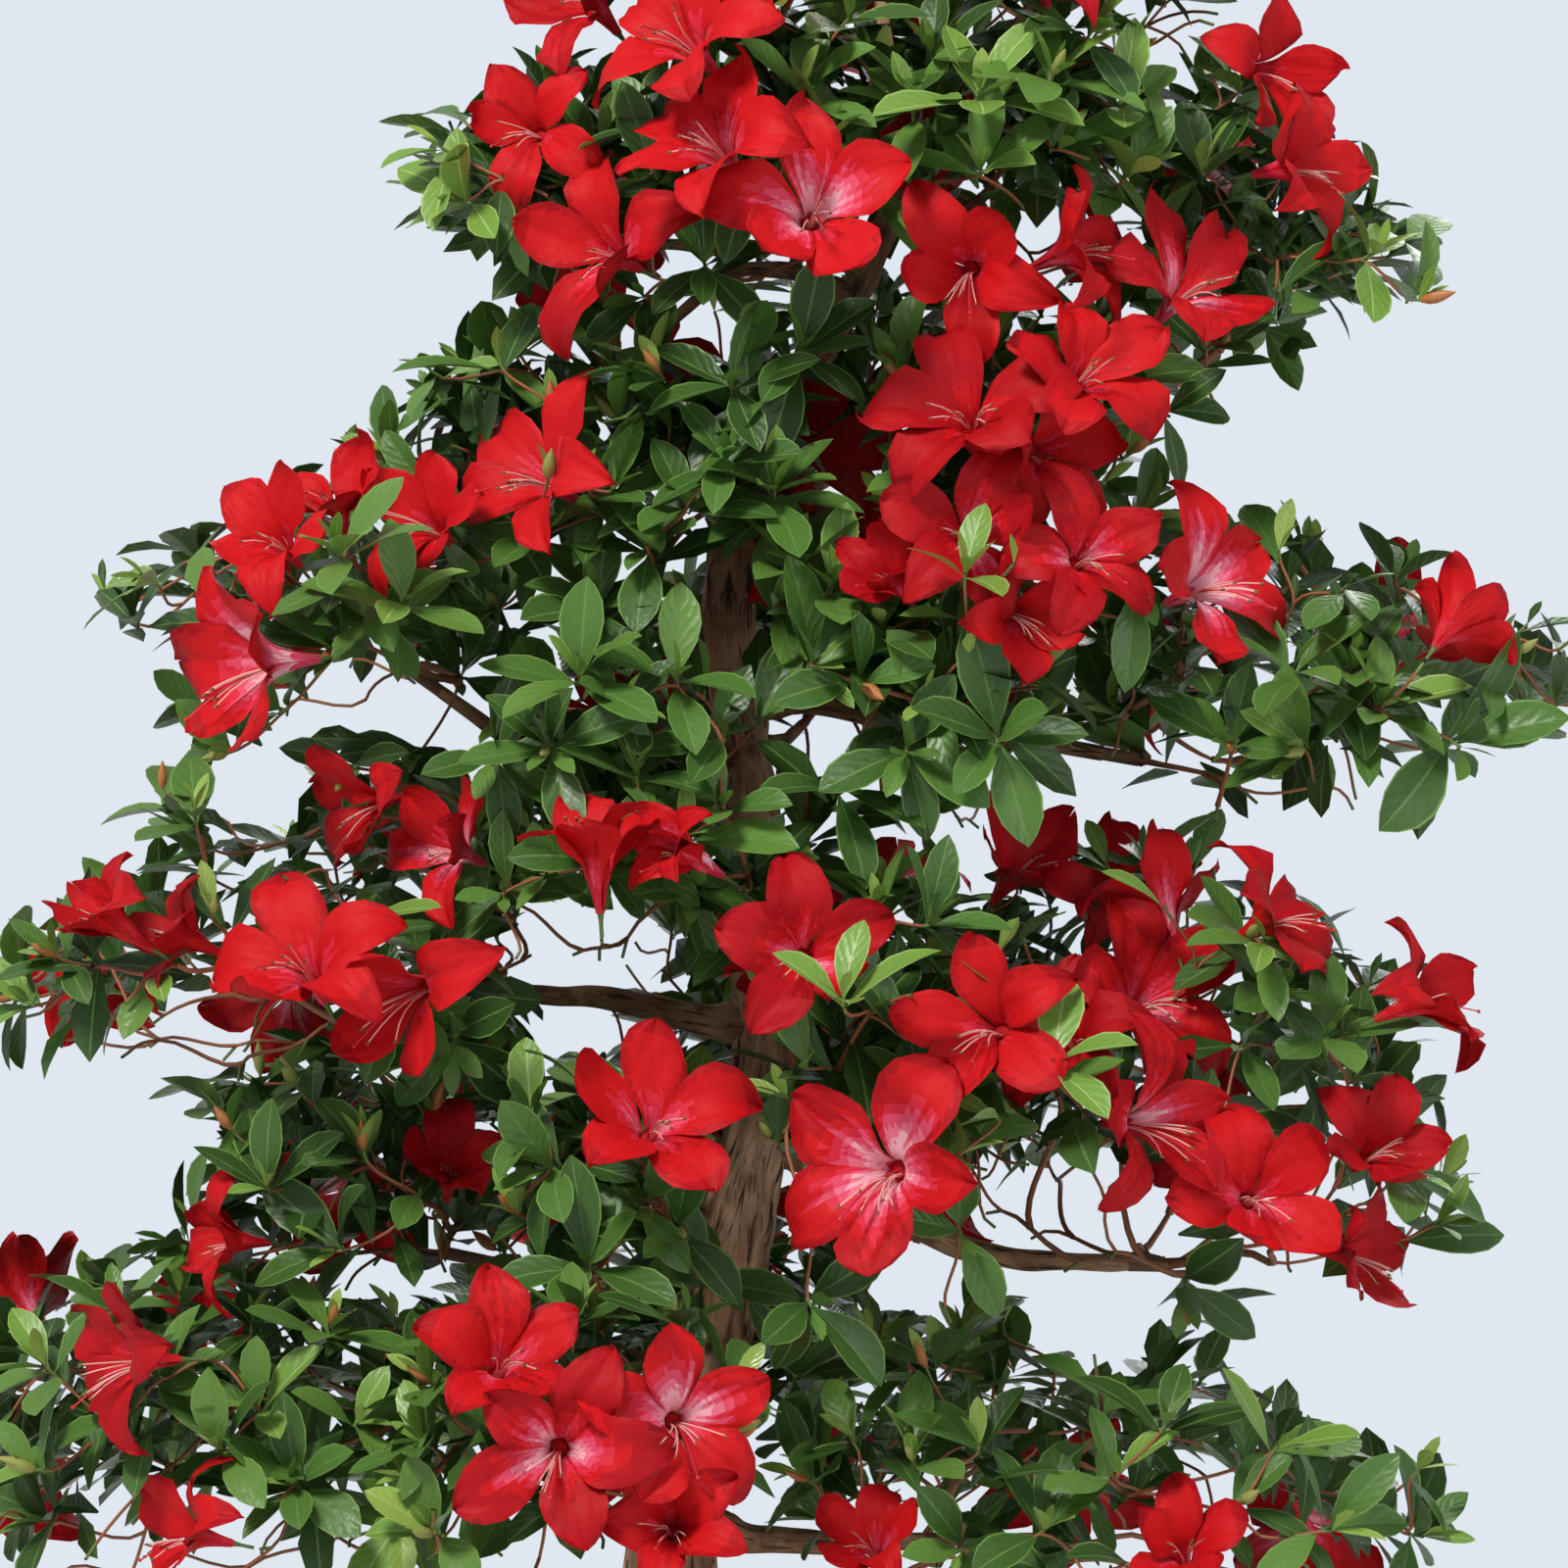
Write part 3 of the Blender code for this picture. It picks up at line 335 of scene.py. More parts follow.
def trunk_at(height):
    """The trunk's middle, direction and radius at a height."""
    index = int(np.searchsorted(trunk_path[:, 2], height))
    index = min(max(index, 1), TRUNK_STEPS)
    return trunk_path[index], unit(trunk_path[index] - trunk_path[index - 1]), trunk_radii[index]


def leave_trunk(height, target):
    """Where a limb that heads for target leaves the bark, and its direction."""
    middle, rise, radius = trunk_at(height)
    out = target - middle
    out = unit(out - out.dot(rise) * rise)
    return middle + out * radius, out


@functools.cache
def bough_line(name):
    """A limb's points from the bark to its tip."""
    height, tip, _, sag = BOUGHS[name]
    tip = at(tip)
    start, out = leave_trunk(height * MM, tip)
    reach = np.linalg.norm(tip - start)
    rng = random.Random(name)
    points = []
    for station in range(BOUGH_STATIONS):
        t = station / (BOUGH_STATIONS - 1)
        bend = start + out * BOUGH_SQUARE * reach
        point = (start * (1 - t) + bend * t) * (1 - t) + (bend * (1 - t) + tip * t) * t
        bulge = math.sin(math.pi * t)
        wander = np.array((rng.uniform(-1, 1), rng.uniform(-1, 1), rng.uniform(-1, 1)))
        points.append(point + wander * BOUGH_WANDER * bulge - UP * sag * MM * bulge * min(1, 2 * t))
    return np.array(points)


def bough_radii(name, steps):
    return BOUGHS[name][2] * MM * (1 - (1 - BOUGH_TIP_SHARE) * np.linspace(0, 1, steps))


TRUNK_SEGMENT = 16  # steps of the trunk's line in each straight segment that growth keeps clear of
POINTS_AT_ONCE = 4000
limbs = [(trunk_path[::TRUNK_SEGMENT], trunk_radii[::TRUNK_SEGMENT])]
limbs += [(bough_line(name), bough_radii(name, BOUGH_STATIONS)) for name in BOUGHS]
limb_feet = np.concatenate([line[:-1] for line, _ in limbs])
limb_heads = np.concatenate([line[1:] for line, _ in limbs])
limb_girths = np.concatenate([girths[:-1] for _, girths in limbs])


def clear_of_limbs(points, clear):
    """Which of the points keep that far from the trunk and the boughs."""
    points = np.asarray(points, float)
    answer = np.empty(len(points), bool)
    spans = limb_heads - limb_feet
    lengths = (spans**2).sum(1)
    for low in range(0, len(points), POINTS_AT_ONCE):
        some = points[low : low + POINTS_AT_ONCE, None]
        t = np.clip(((some - limb_feet) * spans).sum(2) / lengths, 0, 1)
        gap = np.linalg.norm(some - limb_feet - spans * t[..., None], axis=2) - limb_girths
        answer[low : low + POINTS_AT_ONCE] = gap.min(1) > clear
    return answer


print(len(limb_feet), "limb segments; the trunk is", round(2000 * trunk_radii[0]), "mm thick at its foot")

# %% [markdown]
# ## The room that each pad of foliage has
# A trained azalea is pruned into pads with air between them. Each pad keeps to a rounded block
# that is fuller than an ellipsoid, and where two blocks would meet, a plane parts them. The sizes
# are those of the solids, so the dressed crown fills the same room.

# %% Pads and their blocks
# Name: centre and half sizes in millimetres, tilt in degrees (right side up), and
# the height on the trunk where the stem starts, or None where a bough of that name carries it.
MASSES = {
    "low_left": ((-168, -10, 272), (106, 102, 62), 0, None),
    "low_front": ((-66, -112, 276), (64, 54, 58), 0, None),
    "low_right": ((112, -6, 262), (118, 104, 56), 0, None),
    "low_back": ((-18, 124, 284), (104, 58, 54), 0, None),
    "midlow_left": ((-150, 0, 352), (64, 90, 50), 0, None),
    "midlow_centre": ((-60, -44, 356), (50, 60, 54), 0, 340),
    "mid_right": ((142, -4, 390), (102, 102, 82), 0, None),
    "mid_inner": ((32, -70, 384), (52, 54, 82), 0, 388),
    "mid_back": ((6, 116, 388), (96, 58, 70), 0, None),
    "third_left": ((-168, -4, 436), (102, 98, 62), 0, None),
    "centre_left": ((-54, -60, 476), (48, 54, 66), 0, 470),
    "second_right": ((188, -2, 516), (102, 92, 58), 0, None),
    "inner_right": ((48, -50, 514), (54, 58, 48), 0, 522),
    "second_back": ((16, 108, 512), (94, 54, 58), 0, None),
    "second_left": ((-172, 0, 538), (86, 88, 52), 20, None),
    "inner_left": ((-84, -4, 590), (56, 78, 50), 24, None),
    "centre": ((-24, -48, 588), (46, 52, 50), 0, 574),
    "centre_right": ((76, -46, 584), (56, 60, 64), 0, None),
    "upper_back": ((30, 98, 610), (82, 52, 52), 0, None),
    "upper_left": ((-88, -6, 674), (60, 76, 52), 0, None),
    "upper_right": ((164, -2, 654), (64, 78, 72), 0, None),
    "upper_front": ((-8, -58, 688), (56, 54, 64), 0, 660),
    "upper_inner": ((78, -48, 690), (46, 56, 62), 0, 672),
    "upper_rear": ((34, 68, 700), (74, 50, 54), 0, 690),
    "crown_left": ((-46, 0, 766), (62, 68, 46), 0, None),
    "crown_right": ((104, 0, 758), (60, 68, 46), 0, None),
    "crown_tip": ((27, 0, 808), (58, 60, 38), 0, 800),
}
LOW_NAMES, MIDDLE_NAMES = ("low", "midlow"), ("mid_", "third", "centre_left", "second", "inner_right")
TIERS = {
    "low": [name for name in MASSES if name.startswith(LOW_NAMES)],
    "middle": [name for name in MASSES if name.startswith(MIDDLE_NAMES)],
    "high": [name for name in MASSES if not name.startswith(LOW_NAMES + MIDDLE_NAMES)],
}
SPACE_POWER = 2.7  # over 2, a pad is fuller at its corners than an ellipsoid


class Space:
    """The rounded block of one pad, and the planes that part it from its neighbours."""

    def __init__(self, name):
        centre, half, tilt, _ = MASSES[name]
        self.name, self.centre, self.half = name, at(centre), np.array(half) * MM
        self.turn = np.array(Matrix.Rotation(math.radians(-tilt), 3, "Y"))
        self.planes = []

    def at(self, direction, share):
        """The point at a share of the way from the centre to the skin."""
        size = (np.abs(direction) ** SPACE_POWER).sum(-1, keepdims=True) ** (1 / SPACE_POWER)
        return self.centre + (direction * self.half * share / size) @ self.turn.T

    def support(self, direction):
        power = SPACE_POWER / (SPACE_POWER - 1)
        return (np.abs((direction @ self.turn) * self.half) ** power).sum() ** (1 / power)

    def depth(self, points):
        """0 at the centre and 1 on the skin."""
        local = np.abs(((points - self.centre) @ self.turn) / self.half)
        return (local**SPACE_POWER).sum(-1) ** (1 / SPACE_POWER)

    def holds(self, points, ease=1.0, over=0.0):
        inside = self.depth(points) < ease
        for place, normal in self.planes:
            inside &= (points - place) @ normal < over
        return inside


spaces = {name: Space(name) for name in MASSES}
for first, second in itertools.combinations(spaces.values(), 2):
    across = second.centre - first.centre
    length = np.linalg.norm(across)
    one, other = first.support(across / length), second.support(-across / length)
    if one + other > length:
        place = first.centre + across * (one / (one + other))
        first.planes.append((place, across / length))
        second.planes.append((place, -across / length))
print(len(spaces), "pads in", len(TIERS), "tiers")

# %% [markdown]
# ## What stays open
# Clipping leaves air between the pads and past their ends, and bares some twigs under a pad and
# some of the trunk. Those places are given as they are seen from the front, and everything that
# grows is kept out of them.

# %% Reach and gaps
# How far the crown reaches at each height to the left and to the right, seen from the front, in mm.
LEFT_REACH = (
    (226, 282), (322, 282), (330, 243), (336, 236), (342, 203), (354, 200), (365, 190), (376, 198),
    (382, 238), (387, 282), (428, 282), (436, 252), (452, 240), (460, 227), (483, 214), (487, 192),
    (494, 195), (500, 213), (511, 206), (520, 222), (533, 232), (546, 234), (553, 227), (561, 214),
    (566, 194), (575, 170), (588, 150), (600, 149), (616, 142), (627, 118), (632, 98), (655, 101),
    (661, 126), (690, 129), (699, 132), (708, 99), (719, 87), (738, 80), (752, 282),
)
RIGHT_REACH = (
    (210, 204), (226, 204), (235, 227), (254, 221), (269, 218), (275, 176), (282, 164), (294, 162),
    (300, 143), (304, 188), (308, 230), (319, 226), (330, 233), (360, 228), (372, 225), (379, 209),
    (386, 218), (402, 232), (422, 229), (430, 186), (443, 182), (453, 155), (460, 172), (465, 206),
    (482, 218), (490, 232), (498, 258), (502, 274), (534, 274), (542, 240), (546, 224), (558, 218),
    (566, 190), (573, 172), (584, 146), (594, 136), (600, 178), (616, 187), (632, 194), (643, 217),
    (664, 219), (677, 196), (700, 182), (719, 170), (738, 166), (752, 274),
)
# Places that stay open to the air behind, to bare twigs and to the trunk: x, height and half sizes in mm.
AIR = (
    (14, 500, 13, 9), (125, 476, 19, 7), (155, 461, 14, 12), (43, 320, 18, 7), (99, 306, 24, 9),
    (-61, 400, 20, 5), (-170, 482, 17, 11), (-27, 628, 13, 8), (122, 602, 8, 6), (181, 559, 7, 8),
    (178, 306, 16, 12),
)
BARE = (
    (-67, 428, 33, 11), (-118, 503, 18, 7), (93, 341, 34, 12), (112, 490, 40, 5), (-40, 652, 12, 7),
    (-150, 505, 16, 6),
)
TRUNK_SHOWS = (
    (-18, 538, 9, 20), (-12, 492, 6, 11), (-13, 466, 5, 8), (-6, 398, 8, 7), (-13, 350, 13, 24),
    (-27, 240, 8, 22),
)


def inside_any(places, ovals):
    """Which of the places, as x and height in mm, lie in one of the ovals."""
    answer = np.zeros(len(places), bool)
    for x, z, wide, high in ovals:
        answer |= ((places[:, 0] - x) / wide) ** 2 + ((places[:, 1] - z) / high) ** 2 < 1
    return answer


def keeps_open(points, over=0.0, leafy=True):
    """Which points leave the air, the bare twigs and the trunk in sight; over is mm past the reach."""
    places = seen(points)
    blocks = inside_any(places, AIR + BARE if leafy else AIR)
    blocks |= inside_any(places, TRUNK_SHOWS) & (points[:, 1] < 0.0)
    blocks |= -places[:, 0] > np.interp(places[:, 1], *np.transpose(LEFT_REACH)) + over
    blocks |= places[:, 0] > np.interp(places[:, 1], *np.transpose(RIGHT_REACH)) + over
    return ~blocks


print("the crown reaches", LEFT_REACH[1][1], "mm to the left at most")

# %% [markdown]
# ## Where the blossom sits
# A satsuki flowers at the ends of its shoots, in loose clusters, so blossom is placed before the
# leaves and the leaves give way to it. The front's flowers are placed one by one: where the tube's
# foot is seen, the way the face looks, its size, how far back it sits, the angle of one petal, how
# far it is open, and how much pale pink its throat shows. Each goes back from the camera until it
# is just inside the skin of a pad. The other sides take flowers by a seeded rule, with a least
# distance between them.

# %% Blossom places
PETAL_RADII = (1.6, 2.4, 3.3, 4.9, 7.2, 10.3, 14.2, 18.6, 23.4, 28.2, 32.8)
PETAL_HEIGHTS = (0, 5, 10, 14.4, 18.4, 22.0, 25.2, 28.0, 30.3, 31.9, 32.8)
PIVOT = (4.9, 14.4)  # radius and height about which a petal opens and closes, in mm
OPEN_TURN = 55  # degrees that a petal turns between shut and open
BLOOM_SCALE = 0.865
BLOOM_APART = 35  # mm between the middles of two full-sized flowers at the front
FACE_MIDDLE, MOUTH = 18, 22  # mm along the axis, from the tube's foot to the face's middle and its mouth
BLOOM_CLEAR = 8 * MM  # from a flower's tube to a limb
BLOOM_STEP, BLOOM_TRIES = 4 * MM, 16  # a flower goes back step by step, in search of a free place
BLOOM_SUNK = 4  # mm that a tube's mouth lies inside the skin of its pad
FRONT_SIDE = -60  # mm, about where the front of the crown is
SEARCH_DEPTHS = np.arange(-0.19, 0.12, 0.002)  # from in front of the crown to behind it
STANDING_COST = 0.25  # what it costs a shoot to stand on a pad, in shares of the pad's depth
# x, height, turn from the front towards the right, lift, size, deeper mm, petal angle, open, pale
FRONT_BLOOMS = (
    (-21, 713, -48, 34, 1.05, 6, 82, 1.0, 0.3), (-13, 679, -35, 32, 1.08, 0, 82, 1.05, 0.45),
    (8, 661, 2, 20, 1.08, -6, 88, 0.95, 0.85), (-54, 727, -48, 40, 0.95, 8, 60, 1.0, 0.3),
    (-47, 650, -36, 14, 1.0, 0, 100, 1.0, 0.75), (62, 650, -8, -4, 0.95, 4, 120, 0.95, 0.25),
    (80, 650, 66, 22, 0.9, 8, 80, 0.85, 0.4), (121, 632, 42, 38, 1.05, 0, 95, 1.0, 0.85),
    (64, 592, -14, 30, 1.08, 0, 96, 1.0, 0.3), (90, 605, 30, 34, 0.95, 4, 90, 1.0, 0.3),
    (76, 592, 35, -15, 0.95, 0, 30, 1.0, 0.35), (60, 560, -2, 10, 0.9, 0, 154, 1.0, 0.95),
    (92, 551, 22, 18, 0.9, 0, 250, 1.0, 0.95), (125, 541, 46, 20, 1.05, 4, 100, 0.95, 1.0),
    (-66, 574, -44, 24, 1.08, -2, 75, 1.0, 0.35), (-108, 560, -30, 26, 0.85, 4, 85, 1.05, 0.2),
    (-158, 553, -30, 34, 0.85, 8, 70, 0.9, 0.2), (-152, 523, -60, -4, 1.2, 0, 100, 0.95, 0.8),
    (-98, 456, -42, 20, 0.85, 0, 62, 0.9, 0.85), (-60, 440, -8, 70, 1.0, -2, 50, 0.5, 0.2),
    (-206, 428, -72, 34, 0.8, 6, 90, 0.6, 0.2), (-183, 426, -68, 26, 0.75, 10, 60, 0.8, 0.3),
    (-150, 411, -20, 38, 1.1, 0, 110, 1.0, 0.65), (-110, 418, -40, -10, 1.05, 0, 84, 1.0, 0.25),
    (5, 424, 8, 10, 1.02, 0, 96, 1.0, 0.7), (42, 356, -28, 2, 1.22, -4, 66, 1.1, 1.0),
    (68, 443, 32, 40, 0.95, 8, 95, 0.85, 0.25), (146, 430, 58, 30, 0.95, 14, 90, 0.95, 0.2),
    (74, 399, -24, 16, 1.0, 0, 110, 1.0, 0.2), (109, 404, 28, 26, 1.12, 4, 100, 1.0, 0.6),
    (98, 391, -20, 30, 0.9, 0, 80, 0.95, 0.3), (104, 371, 48, 4, 1.0, 0, 20, 1.0, 0.9),
    (193, 405, 76, 24, 0.85, 6, 90, 0.62, 0.2), (148, 344, 18, 16, 1.0, 0, 100, 1.0, 0.4),
    (172, 330, 60, -2, 0.85, 2, 70, 0.9, 0.4), (-45, 362, 6, 34, 1.05, -4, 84, 1.05, 0.55),
    (-197, 294, -60, 2, 0.95, 0, 80, 1.0, 0.45), (-180, 234, -68, 14, 0.85, 0, 90, 0.9, 0.2),
    (-95, 285, 14, 36, 0.98, 8, 90, 1.0, 0.5), (-73, 266, 0, 2, 1.05, -2, 279, 1.05, 1.0),
    (-38, 274, 14, 6, 1.0, 2, 96, 1.05, 0.9), (-77, 692, -20, 10, 0.8, 14, 40, 0.9, 0.2),
    (153, 681, 58, 6, 0.9, 14, 70, 0.9, 0.2), (147, 716, 50, -8, 0.85, 18, 20, 0.9, 0.2),
    (42, 541, -28, 30, 0.75, 2, 90, 0.6, 0.5), (66, 540, 42, -8, 0.8, 4, 50, 0.9, 0.3),
    (212, 526, 150, 30, 0.85, 6, 90, 0.8, 0.2), (-143, 563, -12, 46, 0.75, 10, 80, 0.85, 0.2),
    (-124, 478, -50, -10, 0.8, 24, 90, 0.9, 0.2), (128, 428, -160, 50, 0.95, 20, 90, 0.85, 0.6),
    (186, 356, 28, 30, 0.8, 14, 60, 0.9, 0.2), (-110, 346, 8, 40, 0.8, 14, 90, 0.7, 0.2),
    (-168, 332, -60, 6, 0.7, 10, 70, 0.7, 0.2), (32, 226, -20, 40, 0.75, 16, 90, 0.8, 0.4),
    (132, 224, -10, 40, 0.8, 12, 90, 0.9, 0.3), (-20, 452, -48, 26, 0.8, -2, 90, 0.14, 0.9),
    (-36, 236, 0, 20, 0.85, 4, 30, 0.9, 0.3),
)
REAR_AREA = 5600  # mm² of a pad's skin for each flower of the sides that the front doesn't show
REAR_APART, REAR_CLEAR, REAR_TRIES = 47 * MM, 9 * MM, 160
REAR_LOWEST = -0.45  # how far down a flower may sit on its pad
REAR_SUNK = 23 * MM  # how deep its foot lies under the skin
REAR_LIMIT = 0.184  # metres behind the trunk that its petals may reach
FACE_RINGS = (16, 30)  # mm from the middle of a face, where it is tested for the gaps
TIP_OF_FACE, EDGE_OF_FACE = 34 * MM, 26 * MM  # to the petals' ends, from the foot and the face's middle
OPEN_AIR = 0.97  # a pad's depth beyond which a flower's face is free of it
FRAME_HALF = 250  # mm from the middle of the view to its edge


def facing(turn, lift):
    """The way a flower looks: turn from the front towards the right, lift above the level."""
    turn, lift = math.radians(turn), math.radians(lift)
    return np.array((math.sin(turn) * math.cos(lift), -math.cos(turn) * math.cos(lift), math.sin(lift)))


def first_depth(x, z):
    """How deep the skin of the foremost pad is where the camera sees x and height z, and which pad."""
    line = behind(x, z, SEARCH_DEPTHS)
    best = None
    for space in spaces.values():
        inside = np.flatnonzero(space.holds(line))
        if len(inside) and (best is None or inside[0] < best[0]):
            best = (inside[0], space.name)
    return (SEARCH_DEPTHS[best[0]], best[1]) if best else (None, None)


def nearest_space(point):
    """The pad that a shoot at this point grows from; hanging under one comes before standing on one."""
    above = {name: STANDING_COST * (point[2] > space.centre[2]) for name, space in spaces.items()}
    return min(spaces, key=lambda name: spaces[name].depth(point) + above[name])


def bloom_middle(foot, axis, size):
    """The middle of a flower's face."""
    return foot + axis * FACE_MIDDLE * MM * size


def gap_to(middle, bloom):
    return np.linalg.norm(middle - bloom_middle(*bloom[1:4]))


def rising(values, start, over):
    """0 up to start, 1 from start + over, and a straight line between them."""
    return np.clip((values - start) / over, 0, 1)


def from_axis(points, foot, axis):
    """How far along a flower's axis each point is, and how far off it."""
    offset = points - foot
    along = offset @ axis
    return along, np.linalg.norm(offset - along[:, None] * axis, axis=1)


blooms = []  # each is (home, foot, axis, size, petal, open, pale, front)
for x, z, turn, lift, size, deeper, petal, opening, pale in sorted(FRONT_BLOOMS, key=lambda row: row[5]):
    axis, size = facing(turn, lift), size * BLOOM_SCALE
    mouth = MOUTH * MM * size
    depth, _ = first_depth(*seen(at((x, FRONT_SIDE, z)) + axis * mouth))
    if depth is None:
        depth, _ = first_depth(x, z)
    if depth is None:
        home = min(spaces.values(), key=lambda space: np.linalg.norm((space.centre - at((x, 0, z)))[[0, 2]]))
        depth = home.centre[1] - 0.4 * home.half[1]
    depth += (BLOOM_SUNK + deeper) * MM - axis[1] * mouth
    for _ in range(BLOOM_TRIES):
        foot = behind(x, z, depth)
        middle = bloom_middle(foot, axis, size)
        near = [gap_to(middle, other) < BLOOM_APART * MM * (size + other[3]) / 2 for other in blooms]
        if not any(near) and clear_of_limbs([foot, middle], BLOOM_CLEAR).all():
            break
        depth += BLOOM_STEP
    blooms.append((nearest_space(foot), foot, axis, size, petal, opening, pale, True))


# Places without blossom, as x, height and half sizes in mm.
FLOWERLESS = (
    (128, 302, 48, 22), (66, 318, 42, 18), (-74, 430, 32, 28), (-120, 500, 30, 24), (140, 480, 60, 16),
    (0, 505, 26, 14), (-118, 300, 36, 26), (-8, 300, 22, 22), (22, 640, 26, 24), (138, 604, 28, 18),
    (160, 572, 28, 14),
)


def in_open_air(point):
    return all(space.depth(point) > OPEN_AIR for space in spaces.values())


def frame_shows(point):
    x, z = seen(point)
    return abs(x) < FRAME_HALF and abs(z - VIEW_HEIGHT) < FRAME_HALF


for name, space in spaces.items():
    rng = random.Random("rear " + name)
    wide, deep, high = space.half / MM
    wanted = round((wide * deep + deep * high + high * wide) / REAR_AREA)
    for _ in range(REAR_TRIES):
        if not wanted:
            break
        way = unit([rng.gauss(0, 1), rng.gauss(0, 1), rng.gauss(0.15, 0.8)])
        if way[2] < REAR_LOWEST:
            continue
        skin = np.linalg.norm(space.at(way, 1.0) - space.centre)
        size = BLOOM_SCALE * rng.uniform(0.85, 1.08)
        foot = space.at(way, max(0.25, (skin - REAR_SUNK) / skin))
        axis = unit(space.turn @ unit(way / space.half) + UP * 0.15 + [rng.gauss(0, 0.22) for _ in range(3)])
        middle = bloom_middle(foot, axis, size)
        if frame_shows(foot) and (way[1] < 0.3 or axis[1] < 0.25):
            continue
        if not in_open_air(foot + axis * TIP_OF_FACE) or not space.holds(foot):
            continue
        aside = unit(np.cross(axis, (0.3, 0.2, 1.0)))
        ring = circle(8) @ np.array((aside, np.cross(axis, aside)))
        face = np.vstack([middle[None]] + [middle + ring * far * MM * size for far in FACE_RINGS])
        if frame_shows(middle) and inside_any(seen(face), FLOWERLESS).any():
            continue
        if not keeps_open(face, -4, False).all() or middle[1] + EDGE_OF_FACE * size * axis[1] > REAR_LIMIT:
            continue
        if any(gap_to(middle, other) < REAR_APART for other in blooms):
            continue
        if not clear_of_limbs([foot, middle], REAR_CLEAR).all():
            continue
        petal, opening, pale = rng.uniform(0, 72), rng.uniform(0.85, 1.1), rng.random() ** 1.5
        blooms.append((name, foot, axis, size, petal, opening, pale, False))
        wanted -= 1
print(len(blooms), "flowers,", len(FRONT_BLOOMS), "of them at the front")
